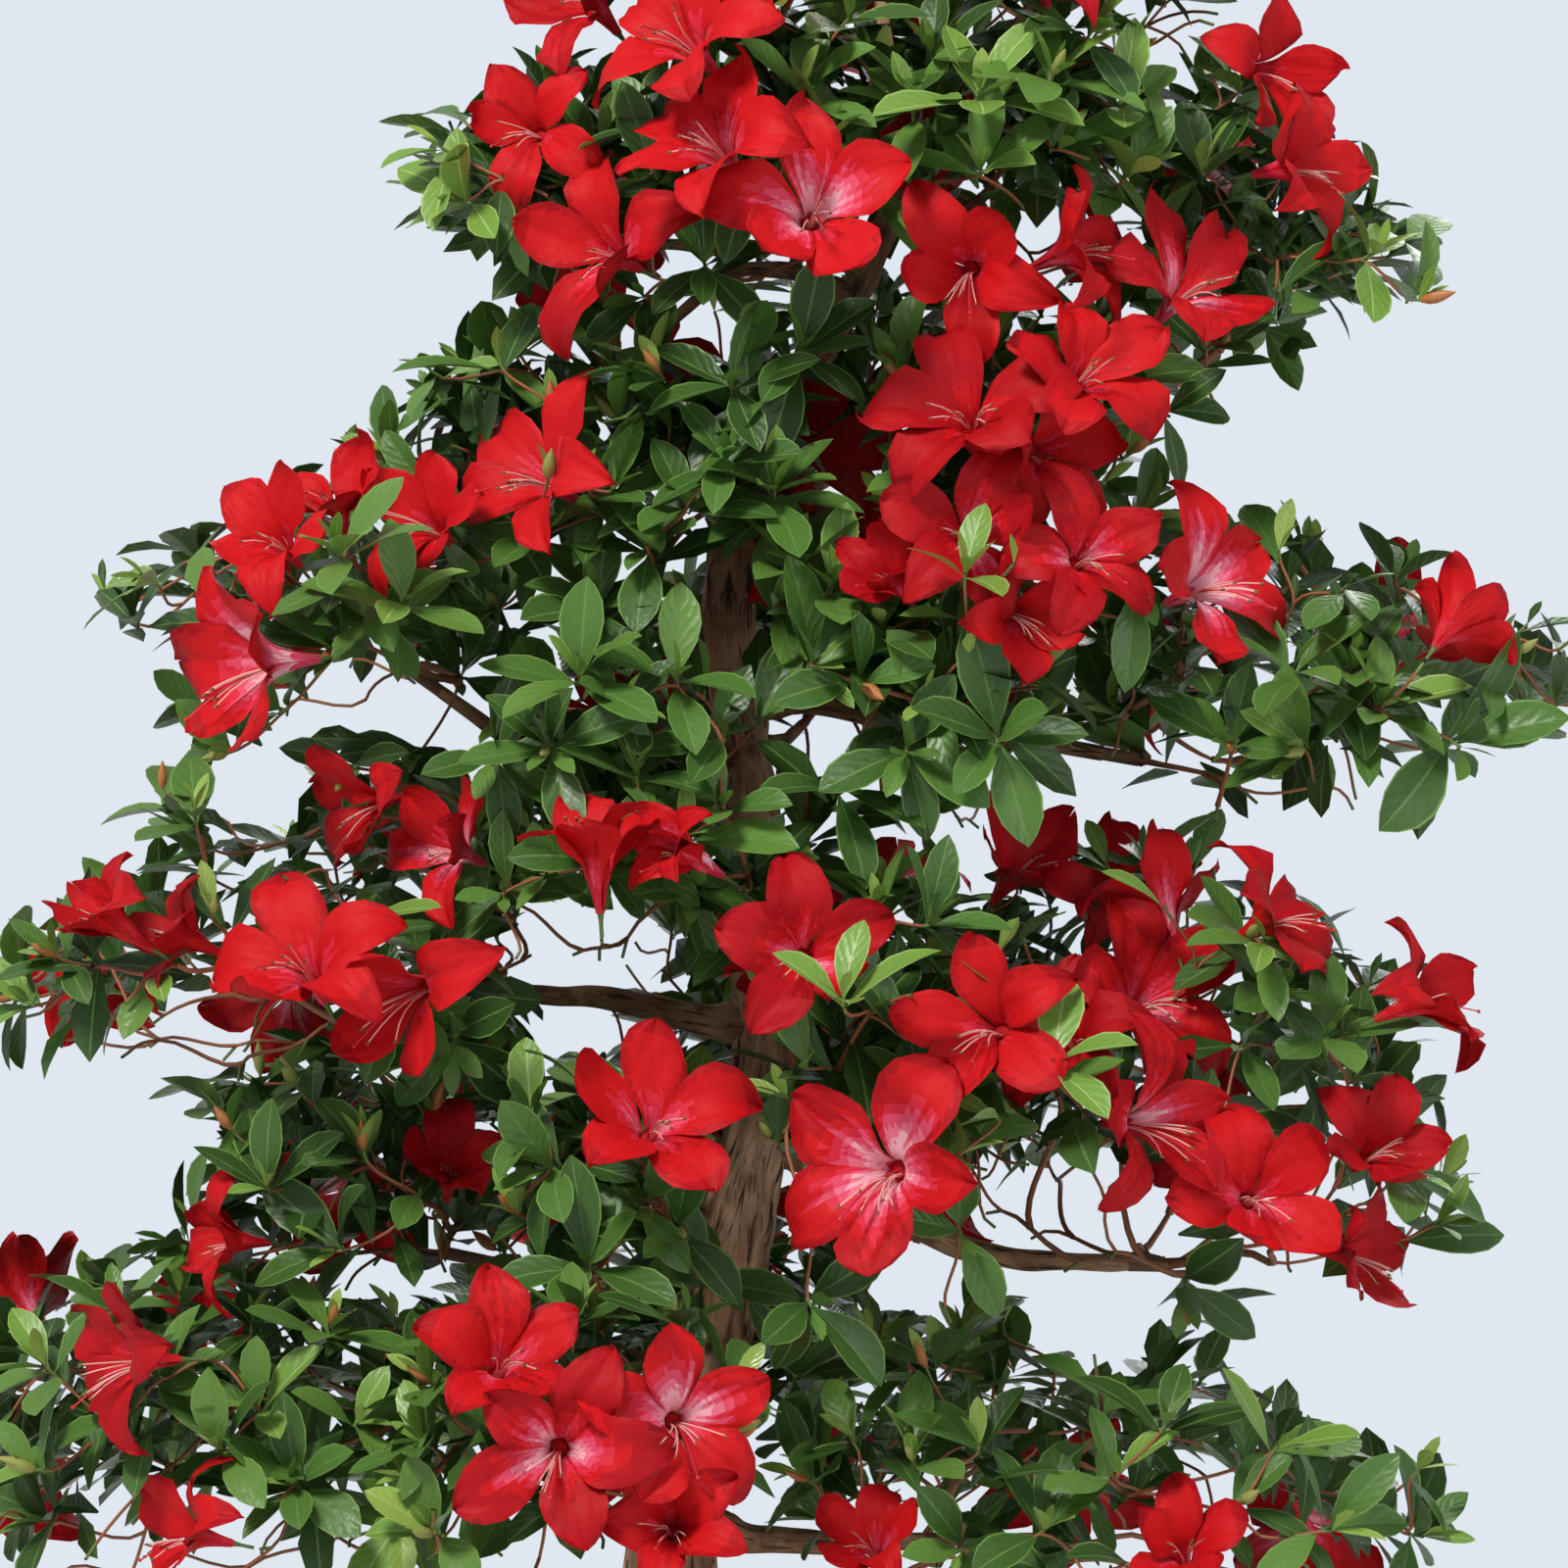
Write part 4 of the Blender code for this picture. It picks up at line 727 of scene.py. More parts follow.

# %% [markdown]
# ## Sprays in full view
# Most shoots follow the rule below, but those that lie over a flower, hide the trunk or mark a
# pad's end are placed one by one, because the eye finds them first: where the shoot's tip is seen,
# the way it points, its size, how far back it sits and its green.

# %% Placed sprays
# x, height, turn from the front towards the right, lift, size, deeper mm, tone
SPRAYS = (
    (4, 553, 0, 40, 1.0, -8, 3), (-3, 538, 10, 10, 0.9, -4, 2), (-26, 652, 0, 10, 0.8, 16, 0),
    (-46, 641, -10, 0, 0.8, 16, 0), (112, 612, 15, -15, 0.9, 6, 1), (126, 602, 30, -20, 0.9, 6, 0),
    (100, 598, 10, -30, 0.85, 8, 0), (-78, 452, -10, -10, 0.9, 6, 1), (-60, 455, 10, -20, 0.9, 4, 1),
    (-44, 460, 5, -10, 0.95, 6, 2), (-30, 447, 20, -20, 0.9, 6, 1), (-92, 446, -20, -15, 0.85, 6, 1),
    (152, 432, 10, 20, 0.9, 10, 2), (162, 414, 25, 10, 0.95, 10, 1), (177, 400, 30, 20, 0.95, 8, 2),
    (188, 386, 45, 5, 0.9, 8, 1), (150, 396, 10, 0, 0.9, 12, 1), (204, 357, 40, 20, 1.0, 4, 2),
    (214, 338, 45, 0, 1.05, 2, 2), (203, 330, 35, -30, 1.1, 4, 1), (131, 316, 10, -62, 1.0, 4, 0),
    (58, 334, 5, -30, 0.9, 4, 1), (-146, 525, -25, -10, 0.85, 4, 1), (-165, 505, -40, -20, 0.85, 4, 1),
    (-182, 492, -50, -10, 0.85, 4, 2), (-106, 516, -5, -15, 0.85, 4, 1),
    (-119, 492, -15, -25, 0.85, 6, 0), (-134, 535, 10, -5, 0.8, 4, 2), (-94, 490, 5, -20, 0.9, 4, 1),
    (-142, 486, -20, -30, 0.85, 8, 0), (-10, 438, 15, 30, 0.9, -2, 2), (-8, 502, 15, 20, 0.9, -2, 1),
    (-20, 474, -5, 30, 0.95, -4, 2), (-12, 452, 10, 25, 0.9, 0, 1), (-67, 517, -5, 30, 1.12, -2, 2),
    (-35, 517, 15, 35, 1.0, 0, 2), (-19, 497, 20, 5, 1.0, -4, 1), (-77, 493, -15, -10, 0.95, 2, 1),
    (-32, 466, 5, 35, 1.05, -2, 3), (-48, 485, -5, 30, 0.9, 4, 1), (10, 520, 25, 0, 1.15, -4, 2),
    (16, 547, 15, 45, 0.95, -2, 3), (-19, 588, 0, 30, 0.95, 0, 1), (-3, 578, 10, 30, 1.0, 0, 2),
    (-32, 573, -10, 30, 0.95, 2, 1), (-45, 559, -10, 20, 0.95, 2, 1), (6, 623, 15, 15, 1.0, 0, 0),
    (-18, 613, -20, 20, 0.95, 2, 0), (19, 482, 20, 25, 1.05, -2, 1), (7, 464, 10, 40, 1.0, 0, 1),
    (40, 492, 5, -15, 1.05, -2, 1), (70, 495, 0, -25, 1.1, -2, 1), (48, 436, 25, 10, 1.05, -6, 1),
    (42, 413, 30, 0, 0.95, -4, 1), (19, 412, -5, 55, 1.0, -34, 5), (6, 389, -40, 5, 1.05, -4, 2),
    (42, 399, 25, 30, 0.95, 0, 1), (88, 392, 5, 40, 0.95, -70, 4), (69, 373, -70, 0, 1.05, -6, 2),
    (112, 350, 40, -45, 1.15, -6, 1), (-48, 343, -10, -25, 0.95, -2, 2), (-77, 357, -45, 0, 0.95, 0, 1),
    (-35, 336, 10, -5, 1.1, 0, 0), (-25, 318, 25, 0, 1.05, -2, 1), (-64, 325, -10, 25, 1.05, 0, 1),
    (9, 311, 30, -35, 1.15, -2, 0), (4, 288, 10, 10, 1.05, 0, 0), (59, 551, 5, 45, 0.9, -32, 4),
    (75, 554, 25, 40, 0.8, -30, 4), (-146, 558, -25, 40, 1.0, -28, 3), (-124, 542, 10, 25, 0.9, -24, 3),
    (-77, 582, 10, 45, 1.08, -28, 3), (-81, 564, 0, 20, 0.95, -4, 2), (-56, 578, 15, 30, 0.9, 0, 2),
    (-208, 549, -70, 20, 0.9, 2, 4), (64, 708, 10, 45, 1.05, -8, 4), (42, 703, -20, 40, 0.9, -4, 3),
    (88, 714, 25, 40, 0.95, -4, 3), (64, 682, 0, 10, 0.95, -6, 3), (-112, 690, -55, 30, 0.9, 0, 4),
    (-106, 672, -60, 5, 0.9, 0, 4), (194, 656, 50, 30, 0.9, 0, 4), (208, 640, 60, 10, 0.85, 0, 3),
    (195, 507, 30, 30, 0.95, 0, 3), (166, 520, 0, 45, 0.95, 0, 2), (146, 494, -10, 0, 1.0, 0, 1),
    (240, 525, 50, 30, 1.0, 0, 3), (221, 494, 50, -35, 1.15, 0, 1), (-108, 396, -10, -65, 1.05, -4, 0),
    (-89, 404, 15, -55, 0.95, 0, 0), (-64, 578, -20, 40, 0.95, 0, 2), (115, 546, 10, -30, 1.05, -8, 1),
    (157, 431, 10, 30, 0.95, -8, 3), (-22, 402, -30, 20, 0.9, 0, 1), (-94, 540, -10, 20, 0.95, 0, 1),
    (-61, 540, 0, 20, 0.9, 2, 1), (26, 514, 30, -20, 0.95, 0, 1),
)
SPRAY_SUNK = 16  # mm that a spray's tip lies inside the skin, before its own depth is added
sprays = {name: [] for name in MASSES}
for x, z, turn, lift, size, deeper, tone in SPRAYS:
    depth, home = first_depth(x, z)
    if depth is None:
        home = nearest_space(at((x, -20, z)))
        depth = spaces[home].centre[1] - 0.3 * spaces[home].half[1]
    tip = behind(x, z, depth + (SPRAY_SUNK + deeper) * MM)
    sprays[home].append((tip, facing(turn, lift), size, tone))
print(len(SPRAYS), "placed sprays")

# %% [markdown]
# ## Twigs
# Every twig is grown by the rule of the solids: the places where shoots end are spread evenly
# over the pad, and each is joined to the stem by the nearest clear joint. Here the same rule goes
# on to finer twigs, over an outer and an inner shell, and the twigs bend: they leave a joint
# along the wood and end along the shoot. A twig's girth comes from how many tips hang on it.

# %% Growing
GOLDEN_TURN = math.pi * (3 - math.sqrt(5))
STEM_LENGTH, STEM_RADIUS, STEM_SUNK = 12 * MM, 2.6 * MM, 3 * MM
LEAST_GIRTH, TWIG_CLEAR, TIP_CLEAR = 0.56 * MM, 2.4 * MM, 5 * MM
GIRTH_POWER = 0.44  # how a twig's radius grows with the tips that it carries
TIP_JITTER, PAD_MARGIN = 6, 4 * MM
OTHERS_ROOM = 0.72  # depth in another pad up to which only every third tip stays
BEND = 0.36  # how far a twig keeps to the directions at its ends
CHOICES = 14  # joints that are tried for each tip
SHORTEST_TWIG, LONG_TWIG = 4 * MM, 45 * MM
JOINT_SHARES = (0.5, 0.8, 1.0)  # where later twigs may join
# For each shell: area of skin for a shoot in mm², how far its tip lies under the skin in mm, the
# lowest and highest direction, and how far past the reach it may come. The last has bare twigs.
SHELLS = ((300, 18, -0.5, 1, -11), (800, 40, -0.36, 1, -11), (300, 14, -0.97, -0.16, -24))
BARE_SHELL = 2


def shoot_tips(space, area, inset, lowest, highest, over, rng):
    """Tips on an even spiral over a shell of the pad, with the way that each shoot points."""
    wide, deep, high = space.half / MM
    count = max(4, round((wide * deep + deep * high + high * wide) / area))
    k = np.arange(count) + 0.5
    height = 1 - 2 * k / count
    ring, angle = np.sqrt(1 - height**2), k * GOLDEN_TURN + rng.uniform(0, math.tau)
    ways = np.stack([ring * np.cos(angle), ring * np.sin(angle), height], 1)
    skins = np.linalg.norm(space.at(ways, 1.0) - space.centre, axis=1)
    shares = np.maximum(0.3, (skins - inset * MM * rng.uniform(0.75, 1.35)) / skins)
    jitter = np.array([[rng.uniform(-TIP_JITTER, TIP_JITTER) for _ in range(3)] for _ in k]) * MM
    tips = space.at(ways, shares[:, None]) + jitter
    normals = unit(ways / space.half) @ space.turn.T
    keep = (height > lowest) & (height < highest) & space.holds(tips, 1.0, PAD_MARGIN)
    keep &= clear_of_limbs(tips, TIP_CLEAR) & keeps_open(tips, over, False)
    for other in spaces.values():
        if other is not space:
            keep &= (other.depth(tips) > OTHERS_ROOM) | (np.arange(count) % 3 == 0)
    return tips[keep], normals[keep]


def bend(foot, lead, tip, end, steps):
    """Points along a smooth bend that leaves foot along lead and reaches tip along end."""
    reach = np.linalg.norm(tip - foot)
    t = np.linspace(0, 1, steps)[:, None]
    one, other = foot + lead * BEND * reach, tip - end * BEND * reach
    return foot * (1 - t) ** 3 + 3 * one * t * (1 - t) ** 2 + 3 * other * t**2 * (1 - t) + tip * t**3


class Twig:
    """A twig's line, the twig that it grows from and where on it, and how many tips it carries."""

    def __init__(self, line, parent, joint):
        self.line, self.parent, self.joint, self.load, self.end_load = line, parent, joint, 1.0, 0.0


def stem_of(name):
    """Where a pad's stem starts, and where it heads."""
    height = MASSES[name][3]
    if height is None:
        line = bough_line(name)
        return line[-1], unit(line[-1] - line[-2])
    if height * MM >= trunk_path[-1][2] - 8 * MM:
        return trunk_path[-1], unit(trunk_path[-1] - trunk_path[-6])
    start, out = leave_trunk(height * MM, spaces[name].centre)
    return start - out * STEM_SUNK, out


def grow_twigs(start, out, tips, ends, must):
    """Joins the tips to the stem by the nearest clear joint, those from must on in any case."""
    neck = start + out * STEM_LENGTH
    twigs = [Twig(bend(start, out, neck, out, 4), None, 0)]
    joints, leads, owners = [neck], [out], [(0, 1.0)]
    for index in np.argsort(np.linalg.norm(tips - neck, axis=1)):
        tip, end = tips[index], ends[index]
        places, ways = np.array(joints), np.array(leads)
        gaps = tip - places
        reach = np.linalg.norm(gaps, axis=1) + 1e-9
        lead = (gaps * ways).sum(1) / reach
        cost = reach * (1.3 - 0.3 * lead) + 0.3 * np.linalg.norm(places - neck, axis=1)
        choices = np.argsort(cost)[:CHOICES]
        for turn, joint in enumerate(choices):
            if reach[joint] < SHORTEST_TWIG:
                continue
            forced = index >= must and turn == len(choices) - 1
            lean = unit(ways[joint] + gaps[joint] / reach[joint] * 0.9)
            line = bend(places[joint], lean, tip, end, 7 if reach[joint] < LONG_TWIG else 11)
            if forced or clear_of_limbs(line[1:], TWIG_CLEAR)[1:].all():
                twigs.append(Twig(line, *owners[joint]))
                for share in JOINT_SHARES:
                    step = round(share * (len(line) - 1))
                    joints.append(line[step])
                    leads.append(unit(line[step] - line[step - 1]))
                    owners.append((len(twigs) - 1, share))
                break
    for twig in reversed(twigs):
        if twig.parent is not None:
            parent = twigs[twig.parent]
            parent.load += twig.load
            if twig.joint > 0.9:
                parent.end_load += twig.load
    return twigs


def girth(load, whole, stem):
    """A twig's radius: the stem's at its foot, and less as fewer of all the tips hang on it."""
    return max(LEAST_GIRTH, stem * ((0.6 + load) / (0.6 + whole)) ** GIRTH_POWER)


def tube(line, radii, sides):
    """Corners and triangles of a round limb along a line."""
    line, radii = np.asarray(line, float), np.asarray(radii, float)
    ways = unit(np.gradient(line, axis=0))
    aside = np.cross(ways[0], UP if abs(ways[0][2]) < 0.9 else (1.0, 0, 0))
    rings = []
    for point, way, radius in zip(line, ways, radii):
        aside = unit(aside - aside.dot(way) * way)
        rings.append(point + radius * (circle(sides) @ np.array((aside, np.cross(way, aside)))))
    return np.concatenate(rings), quads_of(len(line), sides, True)


STALK = 9 * MM  # from a flower's foot to the tip of its twig
FREE_SIDE, FREE_BACK, FREE_FRONT = 21 * MM, 6 * MM, 52 * MM  # the room of a flower that shoots stay out of
SPRAY_ROOM, SPRAY_ROOM_DEEP = 15, 24 * MM  # mm as seen from the front, and how far behind
shoots = {}  # by pad: tip, the way it points, whether its shell is the outer one, size, a placed spray's tone
twigs_of = {}
for name, space in spaces.items():
    rng = random.Random("mass " + name)
    found = [shoot_tips(space, *shell, rng) for shell in SHELLS]
    tips = np.concatenate([tips for tips, _ in found])
    normals = np.concatenate([normals for _, normals in found])
    outer = np.concatenate([np.full(len(tips), number) for number, (tips, _) in enumerate(found)])
    for _, foot, axis, size, *_ in blooms:
        along, spread = from_axis(tips, foot, axis)
        free = (spread > FREE_SIDE * size) | (along < FREE_BACK) | (along > FREE_FRONT)
        tips, normals, outer = tips[free], normals[free], outer[free]
    start, out = stem_of(name)
    from_neck = unit(tips - start)
    lean = np.array([[rng.gauss(0, 0.2) for _ in range(3)] for _ in tips]).reshape(-1, 3)
    ways = unit(0.6 * normals + 0.35 * from_neck + 0.42 * UP * (outer < BARE_SHELL)[:, None] + lean)
    placed = [(foot - axis * STALK, axis) for home, foot, axis, *_ in blooms if home == name]
    placed += [spray[:2] for spray in sprays[name]]
    for spray in sprays[name]:
        apart = np.linalg.norm(seen(tips) - seen(spray[0][None]), axis=1) > SPRAY_ROOM
        apart |= tips[:, 1] > spray[0][1] + SPRAY_ROOM_DEEP
        tips, ways, outer = tips[apart], ways[apart], outer[apart]
    all_tips = np.concatenate([tips, np.array([tip for tip, _ in placed]).reshape(-1, 3)])
    all_ways = np.concatenate([ways, np.array([way for _, way in placed]).reshape(-1, 3)])
    twigs_of[name] = grow_twigs(start, out, all_tips, all_ways, len(tips))
    leafy = [row for row in zip(tips, ways, outer) if row[2] != BARE_SHELL]
    shoots[name] = [(tip, way, shell == 0, 1.0, None) for tip, way, shell in leafy]
    shoots[name] += [(tip, way, True, size, tone) for tip, way, size, tone in sprays[name]]
print(sum(map(len, shoots.values())), "shoots on", sum(map(len, twigs_of.values())), "twigs")

# %% [markdown]
# ## Finishes of the plant
# Each green is one plain colour, dealt out by spray: old leaves are deep and cool, new ones fresh
# and yellow, and the shoots deep inside a pad take mostly the darkest green, leaf_shaded, as
# painted shade. A leaf is satiny, with a paler rib and a hairline of light along its margin, so both
# have a colour of their own. The gloss varies softly over each blade.

# %% Leaf, twig and petal finishes
def on_blade(wire):
    """How far across a blade, 0 at the rib and 1 at the margin, and how far along it, 0 to 1."""
    place = wire.node("UVMap", {"uv_map": "blade"})
    across = wire.node("SeparateXYZ", {}, {"Vector": place}, out=0)
    return wire.sum("ABSOLUTE", across), wire.node("SeparateXYZ", {}, {"Vector": place}, out=1)


def leaf_finish(name, colour, roughness):
    """Satin, with side veins pressed in at a slant and the skin raised a little between them."""
    made, shader, wire = new_material(name, colour, roughness, Specular_IOR_Level=0.38)
    patches = grain(wire, 90.0, 2.0)
    plug(shader, "Roughness", patches.between(0.3, 0.7) * 0.2 + (roughness - 0.1))
    across, along = on_blade(wire)
    quilt = wire.sum("PINGPONG", along * 6.0 - across * 2.0, 0.5)
    bump(shader, quilt.between(0.0, 0.4) * 0.35 + grain(wire, 200.0, 3.0) * 1.6, 0.36, 0.0007)
    return made


def plain_finish(name, colour, roughness, **constants):
    made, shader, wire = new_material(name, colour, roughness, **constants)
    plug(shader, "Roughness", grain(wire, 140.0, 2.0) * 0.2 + (roughness - 0.1))
    return made


def petal_finish(name, colour):
    """Thin and matt, with fine veins along the petal and a crinkled skin."""
    made, shader, wire = new_material(name, colour, 0.6, Specular_IOR_Level=0.16)
    across, along = on_blade(wire)
    veins = wire.sum("PINGPONG", across * 3.0 + grain(wire, 60.0, 2.0) * 0.9, 0.5)
    bump(shader, veins * 0.5 + grain(wire, 150.0, 3.0) * 1.8, 0.32, 0.0010)
    plug(shader, "Roughness", grain(wire, 90.0, 2.0) * 0.2 + 0.5)
    return made


BLADES = (
    ("leaf_shaded", (0.034, 0.082, 0.015)),
    ("leaf_deep", (0.050, 0.118, 0.021)),
    ("leaf_green", (0.074, 0.168, 0.028)),
    ("leaf_mid", (0.108, 0.222, 0.037)),
    ("leaf_fresh", (0.165, 0.305, 0.048)),
    ("leaf_young", (0.275, 0.410, 0.074)),
)
leaf_looks = [leaf_finish(name, colour, 0.37) for name, colour in BLADES]
leaf_looks += [
    leaf_finish("leaf_rib", (0.11, 0.21, 0.05), 0.45),
    leaf_finish("leaf_rib_young", (0.33, 0.46, 0.15), 0.45),
    leaf_finish("leaf_margin", (0.14, 0.26, 0.055), 0.45),
    leaf_finish("leaf_margin_young", (0.31, 0.44, 0.12), 0.45),
]
FRESH, YOUNG = 4, 5  # places in BLADES
RIB, RIB_YOUNG, MARGIN, MARGIN_YOUNG = range(len(BLADES), len(BLADES) + 4)
twig_looks = [
    plain_finish("twig_old", (0.21, 0.110, 0.062), 0.8),
    plain_finish("twig_brown", (0.27, 0.115, 0.055), 0.7),
    plain_finish("twig_red", (0.33, 0.115, 0.048), 0.62),
    plain_finish("shoot_green", (0.16, 0.20, 0.055), 0.55),
    plain_finish("bud_scale", (0.46, 0.17, 0.05), 0.5),
    plain_finish("bud_green", (0.30, 0.33, 0.08), 0.5),
]
# petal_deep and petal_crimson serve the darker tips and sides, and the painted shade of the flowers that are
# darkened whole.
petal_looks = [
    petal_finish("petal_deep", (0.28, 0.003, 0.006)),
    petal_finish("petal_crimson", (0.41, 0.004, 0.008)),
    petal_finish("petal_scarlet", (0.55, 0.006, 0.009)),
    petal_finish("petal_coral", (0.63, 0.022, 0.048)),
    petal_finish("petal_rose", (0.70, 0.070, 0.130)),
    petal_finish("petal_pink", (0.77, 0.175, 0.255)),
    petal_finish("petal_pale", (0.84, 0.42, 0.48)),
    plain_finish("filament", (0.86, 0.46, 0.42), 0.45),
    plain_finish("anther", (0.26, 0.10, 0.035), 0.7),
    plain_finish("pistil", (0.60, 0.02, 0.03), 0.45),
    plain_finish("calyx", (0.11, 0.18, 0.05), 0.6),
]
FILAMENT, ANTHER, PISTIL, CALYX = range(7, 11)
print(len(leaf_looks) + len(twig_looks) + len(petal_looks), "plant finishes")

# %% Twig pieces
TWIG_SIDES, BUD_SIDES, BUD_SHARE = 5, 6, 0.16
WOODS = (2.0 * MM, 1.2 * MM)  # least radius of old and of brown wood; thinner twigs are red
GREEN_END = 3
BUD_SHAPE = np.array((0.4, 0.9, 1.0, 0.85, 0.5, 0.08)) * 0.19
twig_heap = Heap()
for name, twigs in twigs_of.items():
    carried = MASSES[name][3] is None
    stem = BOUGHS[name][2] * MM * BOUGH_TIP_SHARE * 0.84 if carried else STEM_RADIUS
    for twig in twigs:
        foot, tip = (girth(load, twigs[0].load, stem) for load in (twig.load, twig.end_load))
        steps = len(twig.line)
        if twig.parent is None:
            radii = np.full(steps, foot)
        else:
            radii = np.linspace(foot, min(foot, tip), steps)
            radii[0] *= 1.15
        corners, faces = tube(twig.line, radii, TWIG_SIDES)
        tones = np.full(len(faces), sum(foot <= least for least in WOODS))
        if twig.end_load == 0:
            rows = np.tile(np.repeat(np.arange(steps - 1), TWIG_SIDES), 2)
            tones[rows >= steps - 2] = GREEN_END
        twig_heap.add(corners, faces, tones)
for name, found in shoots.items():
    rng = random.Random("buds " + name)
    for tip, way, outer, _, _ in found:
        if outer and rng.random() < BUD_SHARE:
            reach = rng.uniform(8, 13) * MM
            stations = tip + np.outer(np.linspace(0, 1, 6), way * reach)
            corners, faces = tube(stations, BUD_SHAPE * reach, BUD_SIDES)
            twig_heap.add(corners, faces, rng.choice((4, 4, 5)))
mass_nodes = {tier: ["mass_" + name for name in names] for tier, names in TIERS.items()}
twig_heap.piece("twigs", twig_looks, "bough_bark", sum(mass_nodes.values(), []))

# %% [markdown]
# ## Leaves
# An azalea's leaves crowd the end of each shoot in a whorl: wide ones spread out below, small new
# ones stand up in the middle. A blade is a sheet with a pointed oval outline, folded a little
# along its rib, and it arches over towards its tip. One grid of corners is bent for every leaf at
# once with arrays, and its strips along the rib and the margins take the paler greens.

# %% The blade's grid
# How far along a blade each row of its grid is, and how wide the blade is there.
BLADE_STATIONS = (
    (0.0, 0.06), (0.09, 0.13), (0.24, 0.52), (0.41, 0.87), (0.59, 1.0), (0.77, 0.86), (0.91, 0.46),
    (1.0, 0.02),
)
SMALL_STATIONS = ((0.0, 0.08), (0.22, 0.46), (0.52, 1.0), (0.80, 0.74), (1.0, 0.02))
BLADE_COLUMNS = (-1.0, -0.91, -0.055, 0.055, 0.91, 1.0)
SMALL_COLUMNS = (-1.0, -0.07, 0.07, 1.0)


def blade_grid(stations, columns):
    """Along, across and the triangles of one blade, with the kind of each: 0 blade, 1 rib, 2 margin."""
    along, wide = np.array(stations).T
    faces = quads_of(len(stations), len(columns))
    strips = len(columns) - 1
    kinds = [1 if 2 * k + 1 == strips else 2 if strips == 5 and k in (0, 4) else 0 for k in range(strips)]
    return along, wide, np.array(columns), faces, np.tile(np.tile(kinds, len(stations) - 1), 2)


def place_leaves(heap, leaves, grid):
    """Bends the grid for every leaf and adds them all; leaves is a table with one row for each."""
    along, wide, columns, faces, kinds = grid
    foot, way, up = leaves[:, 0:3], leaves[:, 3:6], leaves[:, 6:9]
    length, width, rise, drop, fold, twist = leaves[:, 9:15].T[:, :, None, None]
    tone = leaves[:, 15].astype(int)
    side = unit(np.cross(up, way))
    face = np.cross(way, side)
    s, u = along[None, :, None], columns[None, None, :]
    across = u * wide[None, :, None] * (width / 2)
    roll = twist * s
    level = across * np.cos(fold)
    lifted = np.abs(across) * np.sin(fold) + level * np.sin(roll)
    level = level * np.cos(roll)
    arch = length * (rise * s - drop * s**2) + lifted
    run = np.broadcast_to(length * (s - 0.5 * (drop * s) ** 2 * s), arch.shape)
    foot, way, side, face = (vector[:, None, None] for vector in (foot, way, side, face))
    corners = foot + run[..., None] * way + level[..., None] * side + arch[..., None] * face
    count = len(leaves)
    each = corners.shape[1] * corners.shape[2]
    shifted = faces[None] + (np.arange(count) * each)[:, None, None]
    young = tone >= FRESH
    by_kind = np.stack([tone, np.where(young, RIB_YOUNG, RIB), np.where(young, MARGIN_YOUNG, MARGIN)], 1)
    tones = by_kind[:, kinds]
    places = np.stack(np.broadcast_arrays(columns[None, :], along[:, None]), -1).reshape(-1, 2)
    heap.add(corners.reshape(-1, 3), shifted.reshape(-1, 3), tones.ravel(), np.tile(places, (count, 1)))


BROAD, SMALL = blade_grid(BLADE_STATIONS, BLADE_COLUMNS), blade_grid(SMALL_STATIONS, SMALL_COLUMNS)
print("a broad blade has", len(BROAD[3]), "triangles and a small one", len(SMALL[3]))

# %% Whorls
LEAF_LENGTH = 32.5  # mm
LEAF_SLENDER = 0.43  # width over length
LOW_SPREAD, SPREAD_RANGE = 84, 66  # degrees off the shoot for the lowest leaf, and how much less for the last


